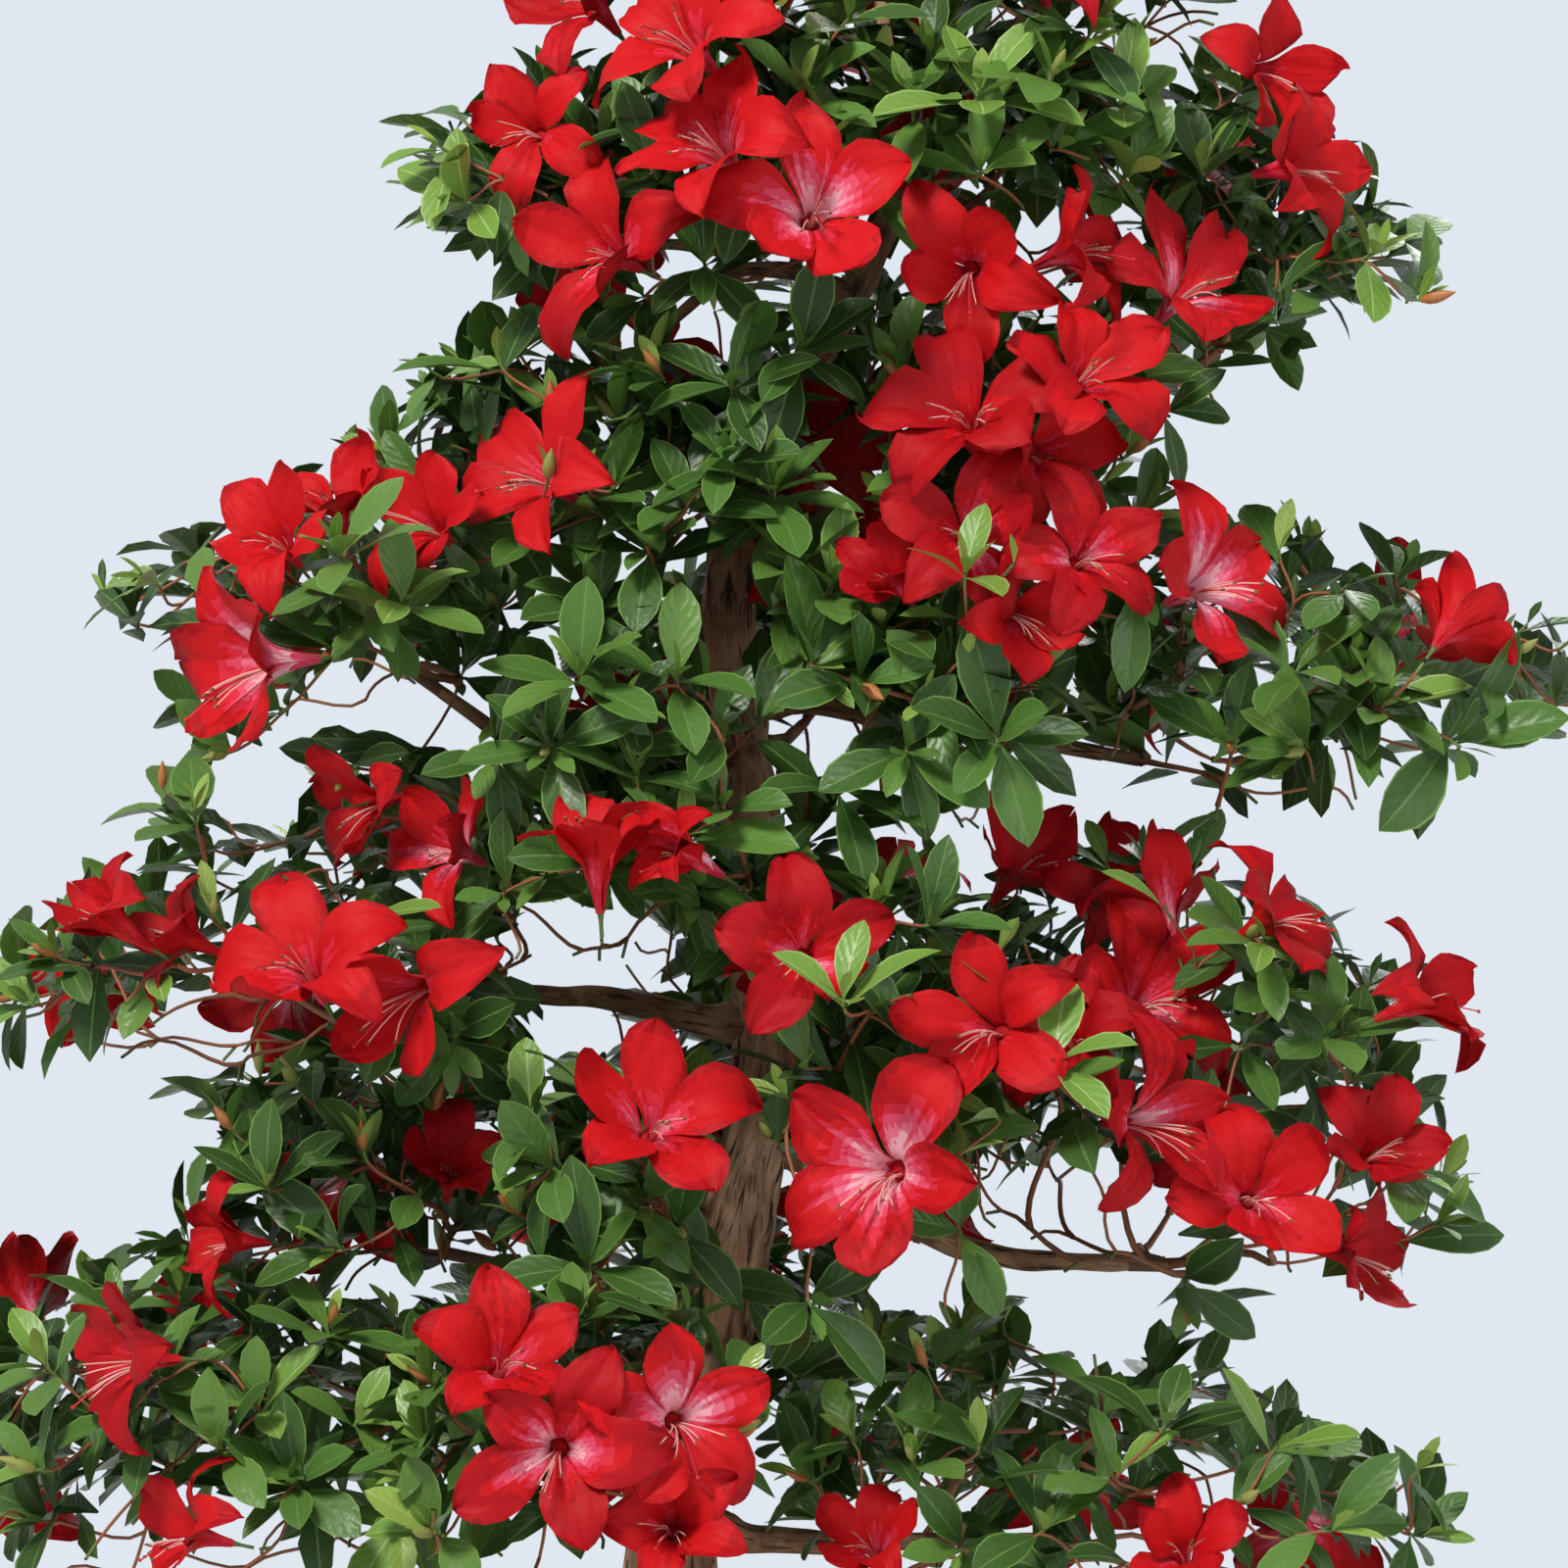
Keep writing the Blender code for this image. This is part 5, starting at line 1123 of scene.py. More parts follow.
def whorl(tip, way, outer, size, given, rng):
    """Rows for the leaves of one shoot, and whether each is broad."""
    rows, broad = [], []
    frame = np.array(Vector(way).to_track_quat("Z", "Y").to_matrix())
    vigour = size * (rng.uniform(0.82, 1.12) * (1.0 if outer else 0.92) if given is None else 1.04)
    spread_out = rng.choice((5, 5, 6, 6, 7)) if outer else 5
    young = rng.choice((2, 3, 4)) if outer else 1
    below = rng.choice((1, 2, 3))
    total = below + spread_out + young
    first = rng.uniform(0, math.tau)
    # Shoots of the inner shell take mostly the darkest greens: painted shade deep in the pad.
    base = rng.choice((0, 1, 1, 2, 2, 3)) if outer else rng.choice((0, 0, 1))
    flush = rng.random()
    if given is not None:
        base, flush = min(given, FRESH), (0.2 if given >= FRESH else 0.6 if given >= 2 else 0.9)
    for k in range(total):
        rank = k - below
        share = max(0.0, rank / max(1, spread_out + young - 1))
        angle = first + GOLDEN_TURN * k + rng.uniform(-0.2, 0.2)
        spread = math.radians(LOW_SPREAD - SPREAD_RANGE * share**1.25 + rng.uniform(-10, 10))
        back = 5.5 * (1 - share) if rank >= 0 else 8 + 6 * (below - k)
        local = (math.sin(spread) * math.cos(angle), math.sin(spread) * math.sin(angle), math.cos(spread))
        direction = unit(frame @ np.array(local) + UP * 0.10)
        newest = rank >= spread_out
        length = LEAF_LENGTH * vigour * rng.uniform(0.85, 1.12) * (1 - 0.2 * share)
        if newest:
            length *= 0.78 - 0.32 * (rank - spread_out + 1) / young * rng.uniform(0.7, 1.2)
        if rank < 0:
            length *= rng.uniform(0.7, 0.95)
        width = length * LEAF_SLENDER * rng.uniform(0.88, 1.15) * (0.82 if newest else 1)
        tone = base
        if outer and newest:
            tone = YOUNG if flush < 0.45 else FRESH if flush < 0.85 else 3
        elif outer and share > 0.45:
            tone = min(FRESH, base + 1)
        elif rank < 0:
            tone = max(0, base - 1)
        tone = min(YOUNG, max(0, tone + rng.choice((-1, 0, 0, 0, 1)))) if given is None else tone
        upright = unit(np.asarray(way) * 0.65 + UP * 0.6)
        rise = rng.uniform(0.0, 0.16) + (0.02 if newest else 0.06)
        drop = rng.uniform(0.08, 0.30) * (0.5 if newest else 1)
        fold, twist = math.radians(rng.uniform(6, 24)), rng.uniform(-0.35, 0.35)
        blade = (length * MM, width * MM, rise, drop, fold, twist, tone)
        rows.append((*(tip - way * back * MM), *direction, *upright, *blade))
        broad.append(outer and rank >= 0 and not (newest and share > 0.9))
    return rows, broad


PETAL_TESTS = (0.0, 0.2, 0.35, 0.5, 0.65, 0.8, 0.9, 1.0)  # along a leaf, for the petals
PETAL_ROOM = 4  # mm from a leaf to a petal, for a full-sized flower
LEAF_TESTS = ((0.35, 1.0), (0.7, 1.03), (1.0, 1.06))  # along a leaf, and how far out it may be there
LEAF_MARGIN, LEAF_CLEAR = 9 * MM, 1.2 * MM  # room beyond a pad, and from a limb
CUP_FLOOR, CUP_RISE, CUP_TOP = 3 * MM, 17 * MM, 30 * MM  # the room inside a flower's funnel
AHEAD, AHEAD_END, AHEAD_WIDE = 24 * MM, 62 * MM, 25 * MM  # the room in front of its face
HIDES_AT, HIDES_WIDE, HIDES_DEEP = 20, 25, 4 * MM  # where a leaf would hide a face from the front
CHANCE_AHEAD, CHANCE_HIDES = 0.06, 0.07  # of the leaves in front of a face and of those that hide it


def meets_petals(leaves, base, axis, size, opening):
    """Which leaves come through a flower's petals or lie too near them."""
    lean = math.radians((1 - opening) * OPEN_TURN)
    out, up = np.array(PETAL_RADII) - PIVOT[0], np.array(PETAL_HEIGHTS) - PIVOT[1]
    radii = PIVOT[0] + out * math.cos(lean) - np.clip(up, 0, None) * math.sin(lean)
    heights = PIVOT[1] + np.clip(out, 0, None) * math.sin(lean) + up * math.cos(lean)
    sides = []
    for share in PETAL_TESTS:
        along, spread = from_axis(leaves[:, 0:3] + leaves[:, 3:6] * leaves[:, 9:10] * share, base, axis)
        along, spread = along / (size * MM), spread / (size * MM)
        over = along - np.interp(spread, radii, heights)
        sides.append(np.where(spread < radii[-1] + 2, over, np.nan))
    sides = np.array(sides)
    with np.errstate(invalid="ignore"):
        close = (np.abs(sides) < PETAL_ROOM).any(axis=0)
        crosses = (sides > 0).any(axis=0) & (sides < 0).any(axis=0)
    return close | crosses


def kept_leaves(space, leaves, placed, rng):
    """Which leaves stay in the pad's room, clear of limbs and flowers, and leave the gaps open."""
    foot, way, length = leaves[:, 0:3], leaves[:, 3:6], leaves[:, 9:10]
    keep = np.ones(len(leaves), bool)
    samples = []
    for share, ease in LEAF_TESTS:
        points = foot + way * length * share
        keep &= (space.holds(points, ease, LEAF_MARGIN) | placed) & clear_of_limbs(points, LEAF_CLEAR)
        samples.append(points)
    slack = np.array([rng.uniform(-3, 5) for _ in leaves])
    keep &= keeps_open(samples[1], slack) & keeps_open(samples[0]) & keeps_open(samples[2], slack + 2)
    middle = samples[1]
    place = seen(middle)
    chance = np.array([rng.random() for _ in leaves])
    for _, base, axis, size, _, opening, _, front in blooms:
        keep &= ~meets_petals(leaves, base, axis, size, opening)
        for points in samples:
            along, spread = from_axis(points, base, axis)
            cup = CUP_TOP * size * rising(along, CUP_FLOOR, CUP_RISE * size) * min(1, opening)
            keep &= ~((along > CUP_FLOOR) & (along < CUP_TOP * size) & (spread < cup) & ~placed)
            ahead = (along > AHEAD * size) & (along < AHEAD_END) & (spread < AHEAD_WIDE * size)
            keep &= ~(ahead & (chance > CHANCE_AHEAD) & ~placed)
        if front:
            face = base + axis * HIDES_AT * MM * size
            at_face = seen(face[None])[0]
            wide = HIDES_WIDE * size * min(1, 0.35 + 0.65 * opening)
            hides = (np.linalg.norm(place - at_face, axis=1) < wide) & (middle[:, 1] < face[1] + HIDES_DEEP)
            keep &= ~(hides & (chance > CHANCE_HIDES) & ~placed)
    return keep


heaps = {tier: Heap() for tier in TIERS}
leaf_total = 0
for tier, names in TIERS.items():
    for name in names:
        rng = random.Random("leaves " + name)
        rows, broad = [], []
        placed = []
        for tip, way, outer, size, given in shoots[name]:
            more, wide = whorl(tip, way, outer, size, given, rng)
            rows += more
            broad += wide
            placed += [given is not None] * len(more)
        rows, broad, placed = np.array(rows), np.array(broad), np.array(placed)
        keep = kept_leaves(spaces[name], rows, placed, rng)
        leaf_total += keep.sum()
        for kind, grid in ((broad, BROAD), (~broad, SMALL)):
            if (keep & kind).any():
                place_leaves(heaps[tier], rows[keep & kind], grid)
    heaps[tier].piece("leaves_" + tier, leaf_looks, "foliage", mass_nodes[tier])
print(leaf_total, "leaves")

# %% [markdown]
# ## Blossom
# A satsuki flower is a funnel of five petals that are joined below and part above. Each petal is
# a grid that starts as a fifth of the tube and opens into a broad lobe with a soft wave along its
# edge. The pale throat fades into scarlet in tongues: the grid's own rows are pulled down at the
# sides, so each step of colour ends on a curved row with a clean edge. Thin filaments with their
# anthers curve out of the throat, with the longer pistil below them.

# %% The petal's grid
PETAL_KNOTS = np.linspace(0, 1, 11)
LOBE_KNOTS = (0.0, 0.40, 0.48, 0.58, 0.68, 0.78, 0.87, 0.94, 0.98, 1.0)
LOBE_WIDTHS = (5.4, 7.0, 9.0, 10.9, 12.0, 11.9, 10.1, 6.9, 3.6, 0.4)
PETAL_COLUMNS = np.array((-1, -0.86, -0.70, -0.52, -0.34, -0.17, 0, 0.17, 0.34, 0.52, 0.70, 0.86, 1.0))
PETAL_ROWS = np.array(
    (0, 0.13, 0.23, 0.30, 0.35, 0.40, 0.45, 0.50, 0.55, 0.60, 0.66, 0.73, 0.81, 0.89, 0.95, 0.985, 1.0)
)
TONGUE = 0.13  # how far the rows are pulled down at a petal's sides
PETALS, FILAMENTS = 5, 6
# the throat's floor and the calyx with the stalk: heights on the axis and radii in mm, and the sides
THROAT_FLOOR = ([(0, 0, 9.0), (0, 0, 10.4)], (3.0, 0.2), 6)
STALK_LINE = ([(0, 0, -9.5), (0, 0, -4), (0, 0, -0.5), (0, 0, 1.6)], (0.8, 0.8, 1.3, 2.1), 5)
FILAMENT_RADII, PISTIL_RADII = np.linspace(0.42, 0.30, 6), np.linspace(0.5, 0.4, 7)


def petal(rng, opening, pale, backs):
    """Corners in mm of one petal along +X, and a tone for each strip."""
    u, w = np.meshgrid(PETAL_COLUMNS, PETAL_ROWS)
    v = w - TONGUE * np.abs(u) ** 1.6 * np.sin(math.pi * w) ** 1.2
    radius, height = np.interp(v, PETAL_KNOTS, PETAL_RADII), np.interp(v, PETAL_KNOTS, PETAL_HEIGHTS)
    grow = rng.uniform(0.90, 1.10)
    lean = math.radians((1 - opening) * OPEN_TURN + rng.gauss(0, 9))
    dr, dh = (radius - PIVOT[0]) * grow, (height - PIVOT[1]) * grow
    above = v > 0.3
    curl = math.radians(rng.uniform(-22, 42)) * rising(v, 0.62, 0.38) ** 2
    turn = lean - curl
    radius = np.where(above, PIVOT[0] + dr * np.cos(turn) - dh * np.sin(turn), radius)
    height = np.where(above, PIVOT[1] + dr * np.sin(turn) + dh * np.cos(turn), height)
    wide = np.interp(v, LOBE_KNOTS, LOBE_WIDTHS) * rng.uniform(0.88, 1.08)
    wide *= 1 - rng.uniform(-0.05, 0.38) * rising(v, 0.70, 0.30)
    lobe = rising(v, 0.34, 0.22)
    angle = u * math.radians(180 / PETALS)
    tube_x, tube_y = radius * np.cos(angle), radius * np.sin(angle)
    ripple, phase, lap = rng.uniform(1.4, 3.8), rng.random(), rng.choice((-1, 1))
    wave = ripple * np.sin(math.tau * (1.9 * v + phase + 0.2 * np.sign(u))) * np.abs(u) ** 2.2
    wave = wave * rising(v, 0.5, 0.2)
    pucker = 0.5 * np.sin(math.tau * (2.3 * v + 1.4 * u + phase)) * lobe
    groove = -rng.uniform(1.0, 2.4) * (1 - np.abs(u)) ** 1.8
    x = tube_x * (1 - lobe) + radius * lobe
    y = tube_y * (1 - lobe) + u * wide * lobe
    z = height + lobe * (wave + pucker + groove + lap * 1.2 * u + rng.uniform(-1.4, 2.6) * u**2)
    y = y + math.tan(math.radians(rng.gauss(0, 6))) * np.clip(radius - 6, 0, None)
    corners = np.stack([x, y, z], -1).reshape(-1, 3)
    streaks = np.array([rng.uniform(-0.07, 0.07) for _ in PETAL_COLUMNS[1:]])[None]
    shades = np.array([rng.choice((-0.35, 0.0, 0.0, 0.3)) for _ in PETAL_COLUMNS[1:]])[None]
    tones = []
    for share in (1 / 3, 2 / 3):
        middle_w = (PETAL_ROWS[:-1] * (1 - share) + PETAL_ROWS[1:] * share)[:, None]
        middle_u = (PETAL_COLUMNS[:-1] * share + PETAL_COLUMNS[1:] * (1 - share))[None]
        ends = streaks - 0.12 * np.abs(middle_u) + 0.50 + 0.30 * pale
        light = np.clip((ends - middle_w) / 0.36, 0, 1) * (0.8 + 3.7 * pale)
        throat = np.where(middle_w < 0.24, 0.5, 1.0)
        grains = np.array([[rng.uniform(-0.3, 0.3) for _ in PETAL_COLUMNS[1:]] for _ in PETAL_ROWS[1:]])
        edge = -0.5 * (middle_w > 0.9) - 0.4 * (np.abs(middle_u) > 0.8)
        # The painted shade lowers the tone of every strip of the petal.
        tones.append(2 + backs + light * throat + (shades + grains) * np.clip(light, 0.15, 1) + edge)
    tones = np.clip(np.round(np.concatenate([part.ravel() for part in tones])), 0, 6).astype(int)
    return corners, tones


petal_faces = quads_of(len(PETAL_ROWS), len(PETAL_COLUMNS))
petal_map = np.stack(np.meshgrid(PETAL_COLUMNS, PETAL_ROWS), -1).reshape(-1, 2)


def spindle(foot, head, radius, sides):
    """A small pointed body, for an anther or the pistil's knob."""
    return tube(np.linspace(foot, head, 4), np.array((0.35, 1.0, 0.9, 0.15)) * radius, sides)


def arc(foot, middle, head, steps):
    """Points on a curve that leaves foot towards middle and ends at head."""
    t = np.linspace(0, 1, steps)[:, None]
    return np.asarray(foot) * (1 - t) ** 2 + 2 * np.asarray(middle) * t * (1 - t) + np.asarray(head) * t**2


def add_bloom(heap, bloom, rng):
    """Petals, throat, filaments with anthers, pistil and stalk of one flower, worked out in mm."""
    _, foot, axis, size, angle, opening, pale, _ = bloom
    frame = np.array(Vector(axis).to_track_quat("Z", "Y").to_matrix())

    def add(corners, faces, tones, across_along=None):
        heap.add(foot + (np.asarray(corners) @ frame.T) * size * MM, faces, tones, across_along)

    # Some whole flowers are moved towards the darker reds, and each petal a little more or less: painted
    # shade.
    backs = rng.choice((-0.7, -0.4, 0.0, 0.0, 0.1))
    for number in range(PETALS):
        paleness = min(1, pale * rng.choice((0.5, 0.9, 1.1, 1.25)))
        corners, tones = petal(rng, opening, paleness, backs + rng.uniform(-0.3, 0.2))
        turn = math.radians(angle + 360 / PETALS * number + rng.uniform(-8, 8))
        cos, sin = math.cos(turn), math.sin(turn)
        add(corners @ np.array(((cos, sin, 0), (-sin, cos, 0), (0, 0, 1))), petal_faces, tones, petal_map)
    add(*tube(*THROAT_FLOOR), 1)
    side = math.radians(rng.uniform(-120, -60))
    for number in range(FILAMENTS):
        away = side + math.radians(rng.uniform(-62, 62))
        out = np.array((math.cos(away), math.sin(away), 0))
        reach = rng.uniform(5, 15) * (0.4 + 0.6 * min(1, opening))
        head = out * reach + (0, 0, rng.uniform(30, 38))
        line = arc(out * 1.5 + (0, 0, 6), out * 1.5 + (0, 0, 24), head, 6)
        add(*tube(line, FILAMENT_RADII, 3), FILAMENT)
        add(*spindle(line[-1] - (0.3, 0.3, 0.6), line[-1] + out * 0.8 + (0, 0, 1.5), 0.75, 3), ANTHER)
    away = side + math.radians(rng.uniform(-15, 15))
    out = np.array((math.cos(away), math.sin(away), 0))
    line = arc((0, 0, 5), (0, 0, 24), out * rng.uniform(12, 20) + (0, 0, 41), 7)
    add(*tube(line, PISTIL_RADII, 3), PISTIL)
    add(*spindle(line[-1] - (0, 0, 0.3), line[-1] + out * 0.5 + (0, 0, 1.2), 0.9, 4), PISTIL)
    add(*tube(*STALK_LINE), CALYX)


bloom_heaps = {tier: Heap() for tier in TIERS}
for number, bloom in enumerate(blooms):
    tier = next(tier for tier, names in TIERS.items() if bloom[0] in names)
    add_bloom(bloom_heaps[tier], bloom, random.Random(f"bloom {number}"))
for tier, heap in bloom_heaps.items():
    heap.piece("blossom_" + tier, petal_looks, "foliage", mass_nodes[tier])

# %% [markdown]
# ## Bark
# The trunk is old wood: flaky bark in long strips that twist a little round it. The relief is
# real, because it shows along the outline: a fine tube whose skin is pushed out by noise that is
# stretched along the limb. Boughs carry the same bark in a finer grain, and each swells into a
# collar where it leaves the trunk. The colours follow from three noises: brown strips, pale
# patches over them, and dark cracks between.

# %% Bark finish
def bark_finish(name, dark, mid, pale, scale):
    made, shader, wire = new_material(name, mid, 0.9)
    strips = grain(wire, scale, 6.0, 0.62, (1, 0.14, 1), 0.8, True)
    patches = grain(wire, scale * 0.22, 3.0)
    cracks = grain(wire, scale * 2.2, 5.0, 0.6, (1, 0.12, 1), 0.5, True)
    colour = strips.between(0.34, 0.62).mix(dark, mid)
    colour = (patches.between(0.45, 0.7) * 0.8).mix(colour, pale)
    colour = cracks.between(0.36, 0.46).mix(tuple(0.35 * part for part in dark), colour)
    plug(shader, "Base Color", colour)
    bump(shader, strips * 0.6 + cracks * 0.4, 0.9, 0.0016)
    return made


trunk_look = bark_finish("bark_trunk", (0.13, 0.062, 0.034), (0.50, 0.265, 0.140), (0.80, 0.53, 0.33), 200.0)
bough_look = bark_finish("bark_bough", (0.11, 0.050, 0.026), (0.37, 0.190, 0.095), (0.58, 0.36, 0.20), 280.0)
print("bark finishes are ready")

# %% A limb with relief
def rugged(line, radii, sides, relief, grain_size, seed, flare=None):
    """A tube whose skin is pushed out in flaky strips along the limb."""
    ways = unit(np.gradient(line, axis=0))
    aside = np.cross(ways[0], (1.0, 0, 0))
    far = np.concatenate([[0], np.cumsum(np.linalg.norm(np.diff(line, axis=0), axis=1))])
    corners, places = [], []
    for point, way, radius, along in zip(line, ways, radii, far):
        aside = unit(aside - aside.dot(way) * way)
        other = np.cross(way, aside)
        for side in range(sides):
            places.append(((1 - abs(2 * side / sides - 1)) * math.pi * radius, along))
            turn = math.tau * side / sides
            twist = turn + along * 6
            place = Vector((math.cos(twist) * radius, math.sin(twist) * radius, along * 0.17)) / grain_size
            shift = Vector((seed * 3.7, seed * 1.3, 0))
            ridge = 1 - abs(noise.noise(place + shift)) * 2.4
            flake = noise.noise(place * 2.6 + shift * 2)
            swell = noise.noise(Vector((math.cos(turn), math.sin(turn), along * 22)) + shift * 5)
            depth = relief * min(1, radius / (6 * MM))
            out = radius * (1 + 0.10 * swell) + depth * (0.62 * ridge + 0.5 * flake)
            way_out = aside * math.cos(turn) + other * math.sin(turn)
            if flare:
                out += flare(point, way_out)
            corners.append(point + way_out * out)
    count = len(line)
    faces = quads_of(count, sides, True)
    corners.append(line[-1] + ways[-1] * radii[-1] * 0.5)
    places.append((0, far[-1]))
    last = (count - 1) * sides
    cap = np.array([(last + k, last + (k + 1) % sides, count * sides) for k in range(sides)])
    return np.array(corners), np.concatenate([faces, cap]), 0, np.array(places)


GROUND = 91 * MM
FLARE_HEIGHT = 46 * MM
ROOTS, ROOT_SEED = 6, 5
ROOT_REACH, ROOT_RISE, ROOT_RADIUS = 52 * MM, 40 * MM, 11 * MM
rng = random.Random(ROOT_SEED)
roots = []
for index in range(ROOTS):
    angle = math.tau * (index + rng.uniform(-0.22, 0.22)) / ROOTS
    reach = ROOT_REACH * rng.uniform(0.82, 1.15)
    roots.append((angle, reach, ROOT_RADIUS * rng.uniform(0.8, 1.1)))


def root_flare(point, way):
    """How much the trunk swells towards each root, near the ground."""
    height = (point[2] - GROUND) / FLARE_HEIGHT
    if height > 1:
        return 0.0
    turn = math.atan2(way[1], way[0])
    swell = 0.0
    for angle, _, thick in roots:
        apart = abs((turn - angle + math.pi) % math.tau - math.pi)
        swell += thick * 0.62 * math.exp(-((apart / 0.40) ** 2))
    return swell * (1 - max(0.0, height)) ** 2


TRUNK_SIDES, ROOT_SIDES, BOUGH_SIDES = 84, 30, 22
TRUNK_RELIEF, ROOT_RELIEF, BOUGH_RELIEF = 2.9 * MM, 1.4 * MM, 1.25 * MM
TRUNK_FLAKES, ROOT_FLAKES, BOUGH_FLAKES = 5.6 * MM, 5.5 * MM, 4.2 * MM
LEAST_TRUNK = 1.6 * MM
ROOT_STEPS, BOUGH_STEPS = 36, 54
bark_heap = Heap()
slim = np.maximum(0.9 * trunk_radii - 1.2 * MM * np.clip(trunk_share / 0.2, 0, 1), LEAST_TRUNK)
bark_heap.add(*rugged(trunk_path, slim, TRUNK_SIDES, TRUNK_RELIEF, TRUNK_FLAKES, 1.0, root_flare))
foot = trunk_path[0]
for number, (angle, reach, thick) in enumerate(roots):
    out = np.array((math.cos(angle), math.sin(angle), 0))
    stations = [
        foot + out * 4 * MM + UP * ROOT_RISE,
        foot + out * reach * 0.36 + UP * ROOT_RISE * 0.45,
        foot + out * reach * 0.7 + UP * ROOT_RISE * 0.12,
        foot + out * reach * 0.98 - UP * ROOT_RISE * 0.08,
    ]
    line = smooth_path(stations, ROOT_STEPS)
    radii = np.linspace(thick, thick * 0.34, ROOT_STEPS + 1)
    bark_heap.add(*rugged(line, radii, ROOT_SIDES, ROOT_RELIEF, ROOT_FLAKES, 2.0 + number))
bark_heap.piece("trunk_with_bark", [trunk_look], "trunk_bark", ["trunk"])

COLLAR_END, COLLAR_SWELL = 0.12, 0.38  # the share of a bough that its collar takes, and how much it swells
bough_heap = Heap()
for number, name in enumerate(BOUGHS):
    line = bough_line(name)
    middle = trunk_at(BOUGHS[name][0] * MM)[0]
    inside = line[0] + (middle - line[0]) * 0.75
    path = smooth_path(np.vstack([inside, line]), BOUGH_STEPS)
    along = np.linspace(0, 1, BOUGH_STEPS + 1)
    radii = np.interp(along, (0, 1 / 7, 1), (0.9, 0.84, 0.78 * BOUGH_TIP_SHARE)) * BOUGHS[name][2] * MM
    collar = np.exp(-((along - COLLAR_END).clip(0) / 0.10) ** 2)
    radii = radii * (1 + COLLAR_SWELL * collar)
    bough_heap.add(*rugged(path, radii, BOUGH_SIDES, BOUGH_RELIEF, BOUGH_FLAKES, 20.0 + number))
bough_heap.piece("boughs_with_bark", [bough_look], "bough_bark", ["bough_" + name for name in BOUGHS])

# %% [markdown]
# ## The pot
# A plain unglazed training pot of dark brown stoneware: a rounded rectangle with walls that lean
# out a little, a soft lip, four low feet and two drain holes. It is lofted from rounded
# rectangles, one for each step of the wall's profile, so the lip and the lower edge are truly
# round. Fired clay is matt and slightly sandy, with soft clouds in its brown.

# %% Pot
POT_LENGTH, POT_DEPTH, POT_HEIGHT = 372 * MM, 272 * MM, 84 * MM
POT_TAPER, POT_CORNER, LEAST_CORNER = 9 * MM, 26 * MM, 6 * MM
WALL, RIM_OUT = 10, 6  # mm, as the insets below are
FLOOR, RIM_HEIGHT, SOIL_BELOW_RIM = 11 * MM, 11 * MM, 9 * MM
FOOT_HEIGHT, FOOT_LENGTH, FOOT_DEPTH, FOOT_INSET, FOOT_CORNER = 9 * MM, 46 * MM, 30 * MM, 12 * MM, 8 * MM
DRAIN_RADIUS, DRAIN_SPACING = 11 * MM, 150 * MM
CORNER_STEPS, LIP_STEPS, DRAIN_SIDES = 10, 6, 28
SHARP_ANGLE = 38  # degrees


def clay_finish():
    made, shader, wire = new_material("unglazed_clay", (0.085, 0.045, 0.030), 0.72)
    cloud = grain(wire, 14.0, 4.0)
    sand = grain(wire, 900.0, 3.0)
    colour = cloud.between(0.32, 0.68).mix((0.060, 0.031, 0.022), (0.115, 0.062, 0.041))
    colour = (sand.between(0.60, 0.72) * 0.5).mix(colour, (0.20, 0.13, 0.09))
    plug(shader, "Base Color", colour)
    plug(shader, "Roughness", cloud.between(0.3, 0.7) * 0.18 + 0.58)
    bump(shader, sand * 0.5 + grain(wire, 120.0, 3.0) * 0.5, 0.35, 0.0006)
    return made


def round_rectangle(length, depth, corner):
    """Corners of a rectangle with round corners, anticlockwise."""
    ring = []
    for number, (along_x, along_y) in enumerate(((1, 1), (-1, 1), (-1, -1), (1, -1))):
        middle = (along_x * (length / 2 - corner), along_y * (depth / 2 - corner))
        for step in range(CORNER_STEPS + 1):
            turn = math.pi / 2 * (number + step / CORNER_STEPS)
            ring.append((middle[0] + corner * math.cos(turn), middle[1] + corner * math.sin(turn)))
    return np.array(ring)


def loft(rings):
    """A closed skin through (outline, height) rings, capped at both ends."""
    count = len(rings[0][0])
    corners = np.concatenate([np.column_stack([ring, np.full(count, height)]) for ring, height in rings])
    faces = [tuple(map(int, face)) for face in quads_of(len(rings), count, True)]
    last = (len(rings) - 1) * count
    return corners, faces + [tuple(range(count))[::-1], tuple(range(last, last + count))]


def solid(name, corners, faces):
    mesh = bpy.data.meshes.new(name)
    mesh.from_pydata([tuple(corner) for corner in corners], [], faces)
    mesh.update()
    return new_object(name, mesh)


def one_finish(piece, look):
    """Gives a piece that finish all over, shaded smooth but for the sharp edges."""
    piece.data.materials.clear()
    piece.data.materials.append(look)
    for face in piece.data.polygons:
        face.use_smooth = True
    piece.data.set_sharp_from_angle(angle=math.radians(SHARP_ANGLE))


def pot_ring(height, inset):
    """The pot's outline at a height, moved in from its outside."""
    less = 2 * (POT_TAPER * (POT_HEIGHT - height) / (POT_HEIGHT - FOOT_HEIGHT) + inset)
    return round_rectangle(POT_LENGTH - less, POT_DEPTH - less, max(LEAST_CORNER, POT_CORNER - inset)), height


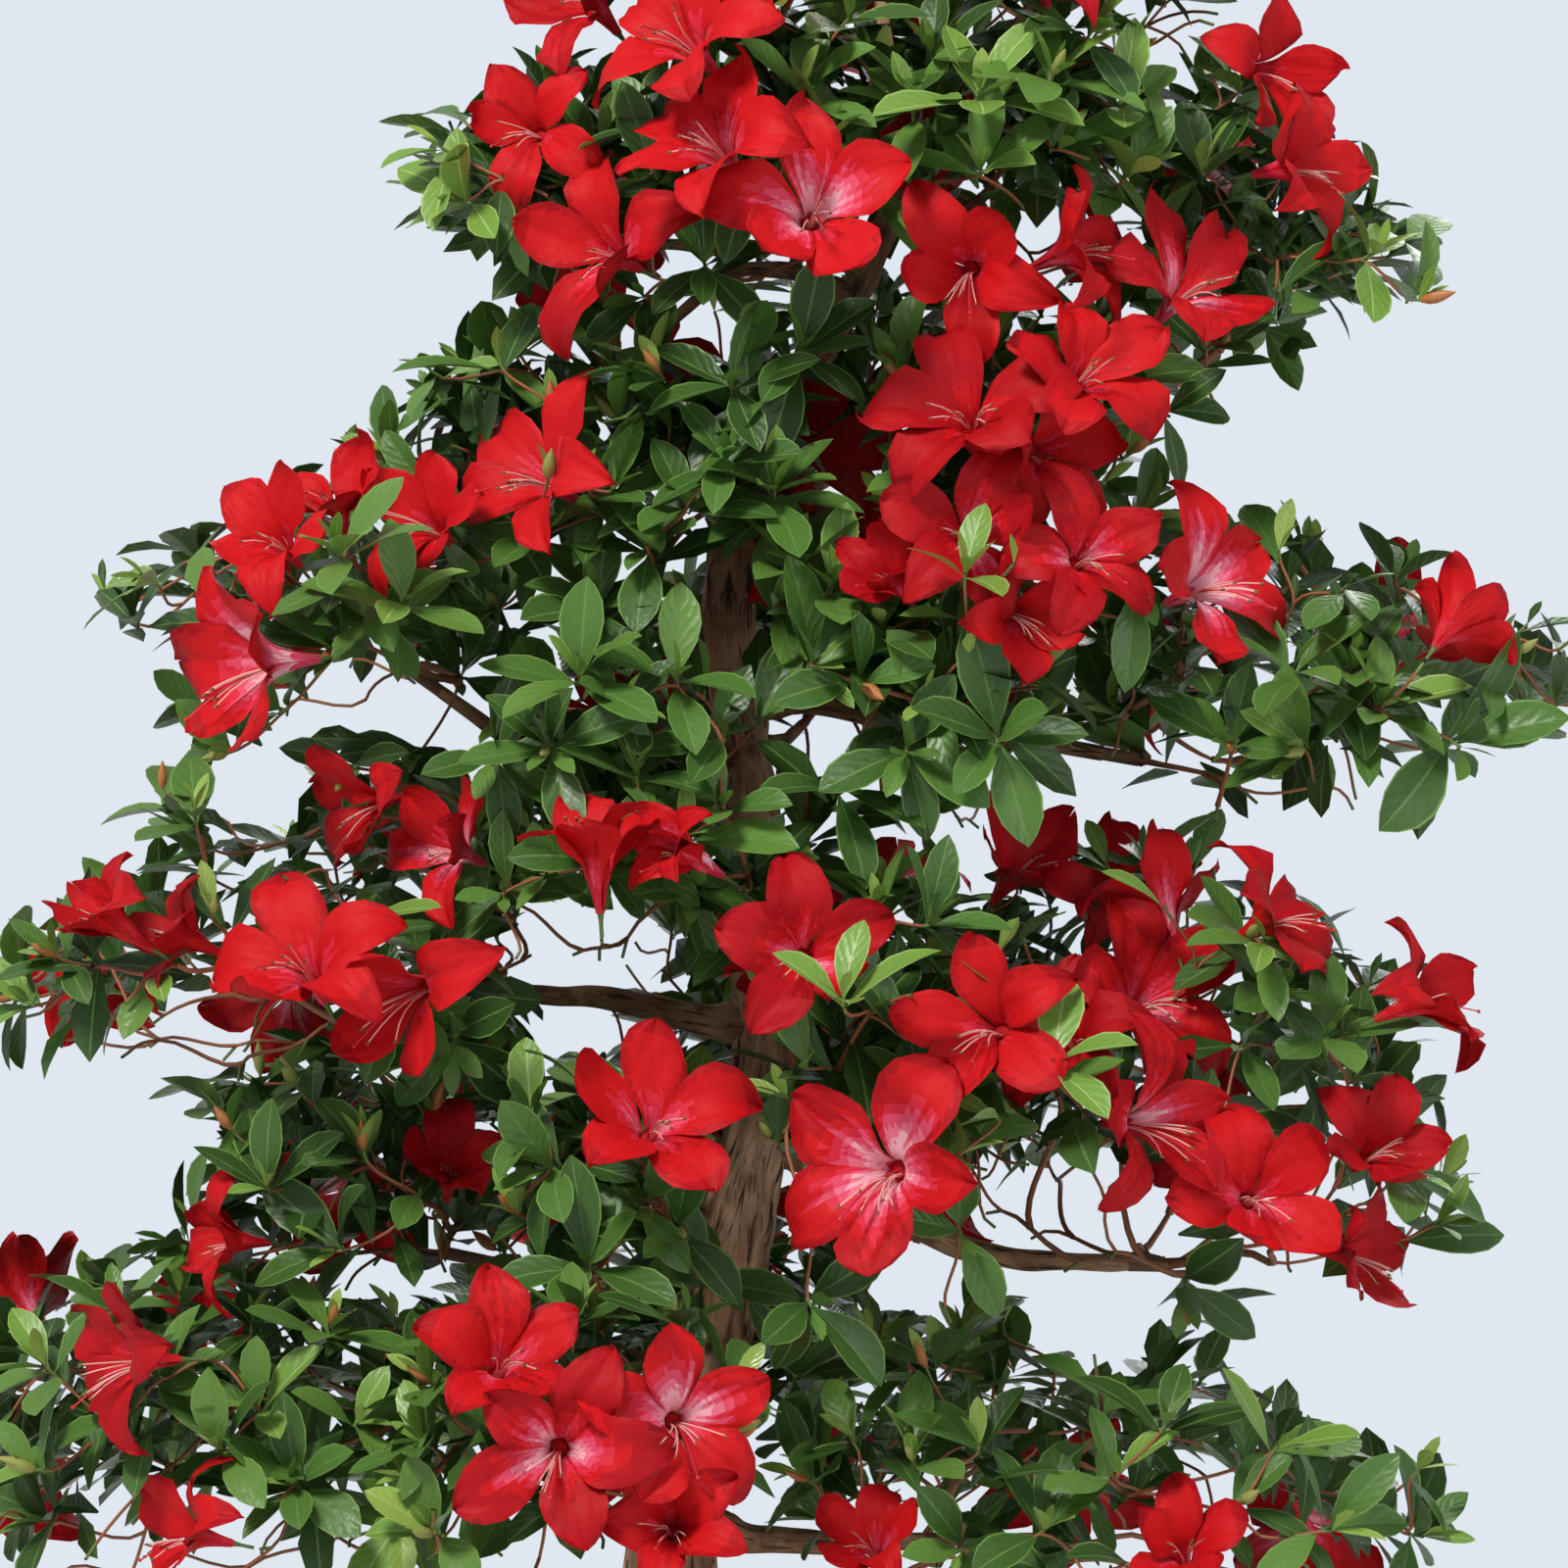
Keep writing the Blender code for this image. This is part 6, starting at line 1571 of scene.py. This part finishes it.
# The wall's profile: height in metres and inset in mm, up the outside, round the lip and down inside.
BODY_TOP = POT_HEIGHT - RIM_HEIGHT
profile = [(FOOT_HEIGHT + up * MM, inset) for up, inset in ((0, 5.0), (1.2, 2.2), (4, 0.4), (9, 0.0))]
profile += [(BODY_TOP - 2 * MM, 0.0), (BODY_TOP - 0.6 * MM, -0.8)]
for step in range(LIP_STEPS + 1):
    turn = math.pi * step / LIP_STEPS
    height = POT_HEIGHT - RIM_HEIGHT / 2 - math.cos(turn) * (RIM_HEIGHT / 2 - 0.3 * MM)
    profile.append((height, -RIM_OUT * math.sin(turn) ** 0.5))
profile += [(POT_HEIGHT - down * MM, inset) for down, inset in ((0, 2.0), (0.2, 6.0), (2.5, 9.2), (7, WALL))]
profile += [(FOOT_HEIGHT + FLOOR + 6 * MM, WALL), (FOOT_HEIGHT + FLOOR, WALL + 5)]
pot = solid("pot_of_clay", *loft([pot_ring(height, inset * MM) for height, inset in profile]))
for side in (-1, 1):
    ring = circle(DRAIN_SIDES) * DRAIN_RADIUS + (side * DRAIN_SPACING / 2, 0)
    drain = solid("drain", *loft([(ring, 0.0), (ring, FOOT_HEIGHT + 2 * FLOOR)]))
    hole = pot.modifiers.new("drain", "BOOLEAN")
    hole.operation, hole.solver, hole.object = "DIFFERENCE", "EXACT", drain
    graph = bpy.context.evaluated_depsgraph_get()
    graph.update()
    joined = bpy.data.meshes.new_from_object(pot.evaluated_get(graph))
    pot.modifiers.clear()
    pot.data = joined
    bpy.data.objects.remove(drain)
clay = clay_finish()
one_finish(pot, clay)
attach(pot, "root")
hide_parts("pot")

tall = FOOT_HEIGHT / MM
FOOT_PROFILE = ((0, 4.6), (0.5, 3.6), (2, 2.8), (tall - 2, 0.6), (tall + 0.4, 0))  # height and inset in mm
apart_x, apart_y = (side - 2 * (POT_TAPER + FOOT_INSET) for side in (POT_LENGTH, POT_DEPTH))
feet_corners, feet_faces = [], []
for along_y in (-1, 1):
    for along_x in (-1, 1):
        middle = (along_x * (apart_x - FOOT_LENGTH) / 2, along_y * (apart_y - FOOT_DEPTH) / 2)
        rings = []
        for height, inset in FOOT_PROFILE:
            less = 2 * inset * MM
            ring = round_rectangle(FOOT_LENGTH - less, FOOT_DEPTH - less, FOOT_CORNER) + middle
            rings.append((ring, height * MM))
        corners, faces = loft(rings)
        start = sum(map(len, feet_corners))
        feet_corners.append(corners)
        feet_faces += [tuple(start + corner for corner in face) for face in faces]
feet = solid("pot_feet", np.concatenate(feet_corners), feet_faces)
one_finish(feet, clay)
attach(feet, "root")
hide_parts("foot_front_left", "foot_front_right", "foot_back_left", "foot_back_right")
print("pot", len(pot.data.polygons), "faces, feet", len(feet.data.polygons))

# %% [markdown]
# ## Soil
# Bonsai soil is baked clay sifted to grains of a few millimetres. The bed is a low mound, higher
# round the trunk, with its surface worked out from a height sum. Grains are small lumps strewn
# over it: one lump is made once, and every grain is a turned, roughened and squeezed copy.

# %% Soil bed and grains
MOUND_TOP, MOUND_FOOT = (104 * MM, 82 * MM), (158 * MM, 112 * MM)
SOIL_LEVEL = POT_HEIGHT - SOIL_BELOW_RIM
SOIL_BOTTOM = FOOT_HEIGHT + FLOOR + 0.5 * MM
BED_DEPTH = 1.2 * MM  # how far the bed lies below the tops of the grains, and how rough it is
SOIL_RIM, BED_RINGS = 132, 26
GRAINS, GRAIN_SEED = 6200, 11
SOIL_EDGE = 14 * MM  # from the pot's outside to the first grains


def soil_height(x, y):
    """The mound's height: level round the trunk, then down to the wall."""
    inner = np.hypot(x / MOUND_TOP[0], y / MOUND_TOP[1])
    outer = np.hypot(x / MOUND_FOOT[0], y / MOUND_FOOT[1])
    share = np.clip((inner - 1) / np.maximum(inner - outer, 1e-6), 0, 1)
    share = np.where(outer >= 1, 1.0, share)
    return GROUND - BED_DEPTH - (GROUND - SOIL_LEVEL) * share**1.1


def soil_finish(name, dark, pale):
    made, shader, wire = new_material(name, dark, 0.95)
    plug(shader, "Base Color", grain(wire, 260.0, 4.0).between(0.3, 0.7).mix(dark, pale))
    bump(shader, grain(wire, 700.0, 3.0), 0.5, 0.0008)
    return made


bed_look = soil_finish("soil_bed", (0.030, 0.019, 0.012), (0.085, 0.055, 0.034))
grain_looks = [
    plain_finish("grain_tan", (0.27, 0.16, 0.085), 0.95),
    plain_finish("grain_brown", (0.15, 0.085, 0.048), 0.95),
    plain_finish("grain_dark", (0.065, 0.042, 0.028), 0.95),
]


def evenly(ring, count):
    """The same outline with its corners at even steps."""
    closed = np.vstack([ring, ring[:1]])
    far = np.concatenate([[0], np.cumsum(np.linalg.norm(np.diff(closed, axis=0), axis=1))])
    steps = np.linspace(0, far[-1], count, endpoint=False)
    return np.column_stack([np.interp(steps, far, closed[:, 0]), np.interp(steps, far, closed[:, 1])])


bottom = evenly(pot_ring(SOIL_BOTTOM, (WALL + 6) * MM)[0], SOIL_RIM)
rim = evenly(pot_ring(SOIL_LEVEL, (WALL + 1) * MM)[0], SOIL_RIM)
bed = Heap()
levels = [np.column_stack([bottom, np.full(SOIL_RIM, SOIL_BOTTOM)])]
for share in np.linspace(1, 0, BED_RINGS):
    ring = rim * share
    rough = np.array([noise.noise(Vector((x, y, 0)) * 90) for x, y in ring]) * BED_DEPTH
    levels.append(np.column_stack([ring, soil_height(ring[:, 0], ring[:, 1]) + rough]))
bed.add(np.concatenate(levels), quads_of(len(levels), SOIL_RIM, True))
bed.add(levels[0], np.array([(0, k + 1, k) for k in range(1, SOIL_RIM - 1)]))
bed.piece("soil_bed", [bed_look], "soil", ["soil"])

# A lump has a corner at each end and two rings of five between them.
upper = [(x, y, 0.45) for x, y in circle(5) * 0.89]
lower = [(x, y, -0.45) for x, y in circle(5, 0.5) * 0.89]
lump = np.array([(0, 0, 1), *upper, *lower, (0, 0, -1)])
following = [(k, (k + 1) % 5) for k in range(5)]
lump_faces = [(0, 1 + k, 1 + after) for k, after in following]
lump_faces += [(1 + k, 6 + k, 1 + after) for k, after in following]
lump_faces += [(6 + k, 6 + after, 1 + after) for k, after in following]
lump_faces += [(11, 6 + after, 6 + k) for k, after in following]
dice = np.random.default_rng(GRAIN_SEED)
half = np.array((POT_LENGTH, POT_DEPTH)) / 2 - SOIL_EDGE
spots = dice.uniform(-1, 1, (GRAINS, 2)) * half
within = np.linalg.norm(np.maximum(np.abs(spots) - (half - SOIL_EDGE), 0), axis=1) < SOIL_EDGE
spots = spots[within & (np.linalg.norm(spots - foot[:2], axis=1) > 20 * MM)]
count = len(spots)
sizes = dice.uniform(0.9, 2.3, count) * MM
turns = np.linalg.qr(dice.normal(size=(count, 3, 3)))[0]
rough = dice.uniform(0.72, 1.2, (count, 12, 1))
squeezed = sizes[:, None] * dice.uniform(0.75, 1.1, (count, 3))
shapes = lump * rough * squeezed[:, None]
places = np.column_stack([spots, soil_height(spots[:, 0], spots[:, 1]) + sizes * 0.35])
corners = np.einsum("nij,nkj->nki", turns, shapes) + places[:, None]
faces = np.array(lump_faces) + (np.arange(count) * len(lump))[:, None, None]
tones = np.repeat(dice.choice(3, count, p=(0.4, 0.38, 0.22)), len(lump_faces))
grains = Heap()
grains.add(corners.reshape(-1, 3), faces.reshape(-1, 3), tones)
grains.piece("soil_grains", grain_looks, "soil", ["soil"], smooth=False)

# %% [markdown]
# ## Studio
# A pale floor under a pale, even sky, one large soft lamp high at the front left, a weaker one at
# the right, and one behind so the back isn't dull. The floor is a disc with a smooth matt finish.
# A large ball round it all, which only the camera sees, gives the pale blue of the distance.

# %% Floor, sky and lamps
FLOOR_RADIUS, BACKDROP_RADIUS = 1.5, 7.0
LAMPS_AIM = Vector((0, 0, 0.45))
disc = solid("floor", *loft([(circle(96) * FLOOR_RADIUS, height) for height in (-0.01, 0.0)]))
floor_look, floor_shader, floor_wire = new_material("floor", (0.78, 0.78, 0.77), 0.8)
plug(floor_shader, "Roughness", grain(floor_wire, 6.0) * 0.1 + 0.75)
disc.data.materials.append(floor_look)
sky = bpy.data.worlds.new("sky")
bpy.context.scene.world = sky
sky.use_nodes = True
background = sky.node_tree.nodes["Background"]
background.inputs["Color"].default_value = (0.90, 0.94, 1.0, 1.0)
background.inputs["Strength"].default_value = 0.52


def add_lamp(name, place, power, size, colour=(1, 1, 1)):
    data = bpy.data.lights.new(name, "AREA")
    data.energy, data.size, data.color = power, size, colour
    lamp = new_object(name, data)
    lamp.location = place
    lamp.rotation_euler = (LAMPS_AIM - Vector(place)).to_track_quat("-Z", "Y").to_euler()


ball = bmesh.new()
bmesh.ops.create_uvsphere(ball, u_segments=48, v_segments=24, radius=BACKDROP_RADIUS)
backdrop = new_object("backdrop", bpy.data.meshes.new("backdrop"))
ball.to_mesh(backdrop.data)
ball.free()
pale_look, pale_shader, _ = new_material("backdrop", (0.0, 0.0, 0.0), 1.0, Emission_Strength=1.0)
pale_shader.inputs["Emission Color"].default_value = (0.74, 0.80, 0.87, 1.0)
pale_shader.inputs["Specular IOR Level"].default_value = 0.0
backdrop.data.materials.append(pale_look)
backdrop.visible_diffuse = backdrop.visible_glossy = backdrop.visible_shadow = False
backdrop.visible_transmission = backdrop.visible_volume_scatter = False
add_lamp("key_lamp", (-0.9, -1.7, 2.3), 58, 0.55, (1.0, 0.98, 0.95))
add_lamp("fill_lamp", (1.9, -1.5, 0.9), 9, 1.2)
add_lamp("back_lamp", (0.6, 2.2, 1.9), 24, 1.2)
bpy.context.scene.view_settings.view_transform = "Standard"
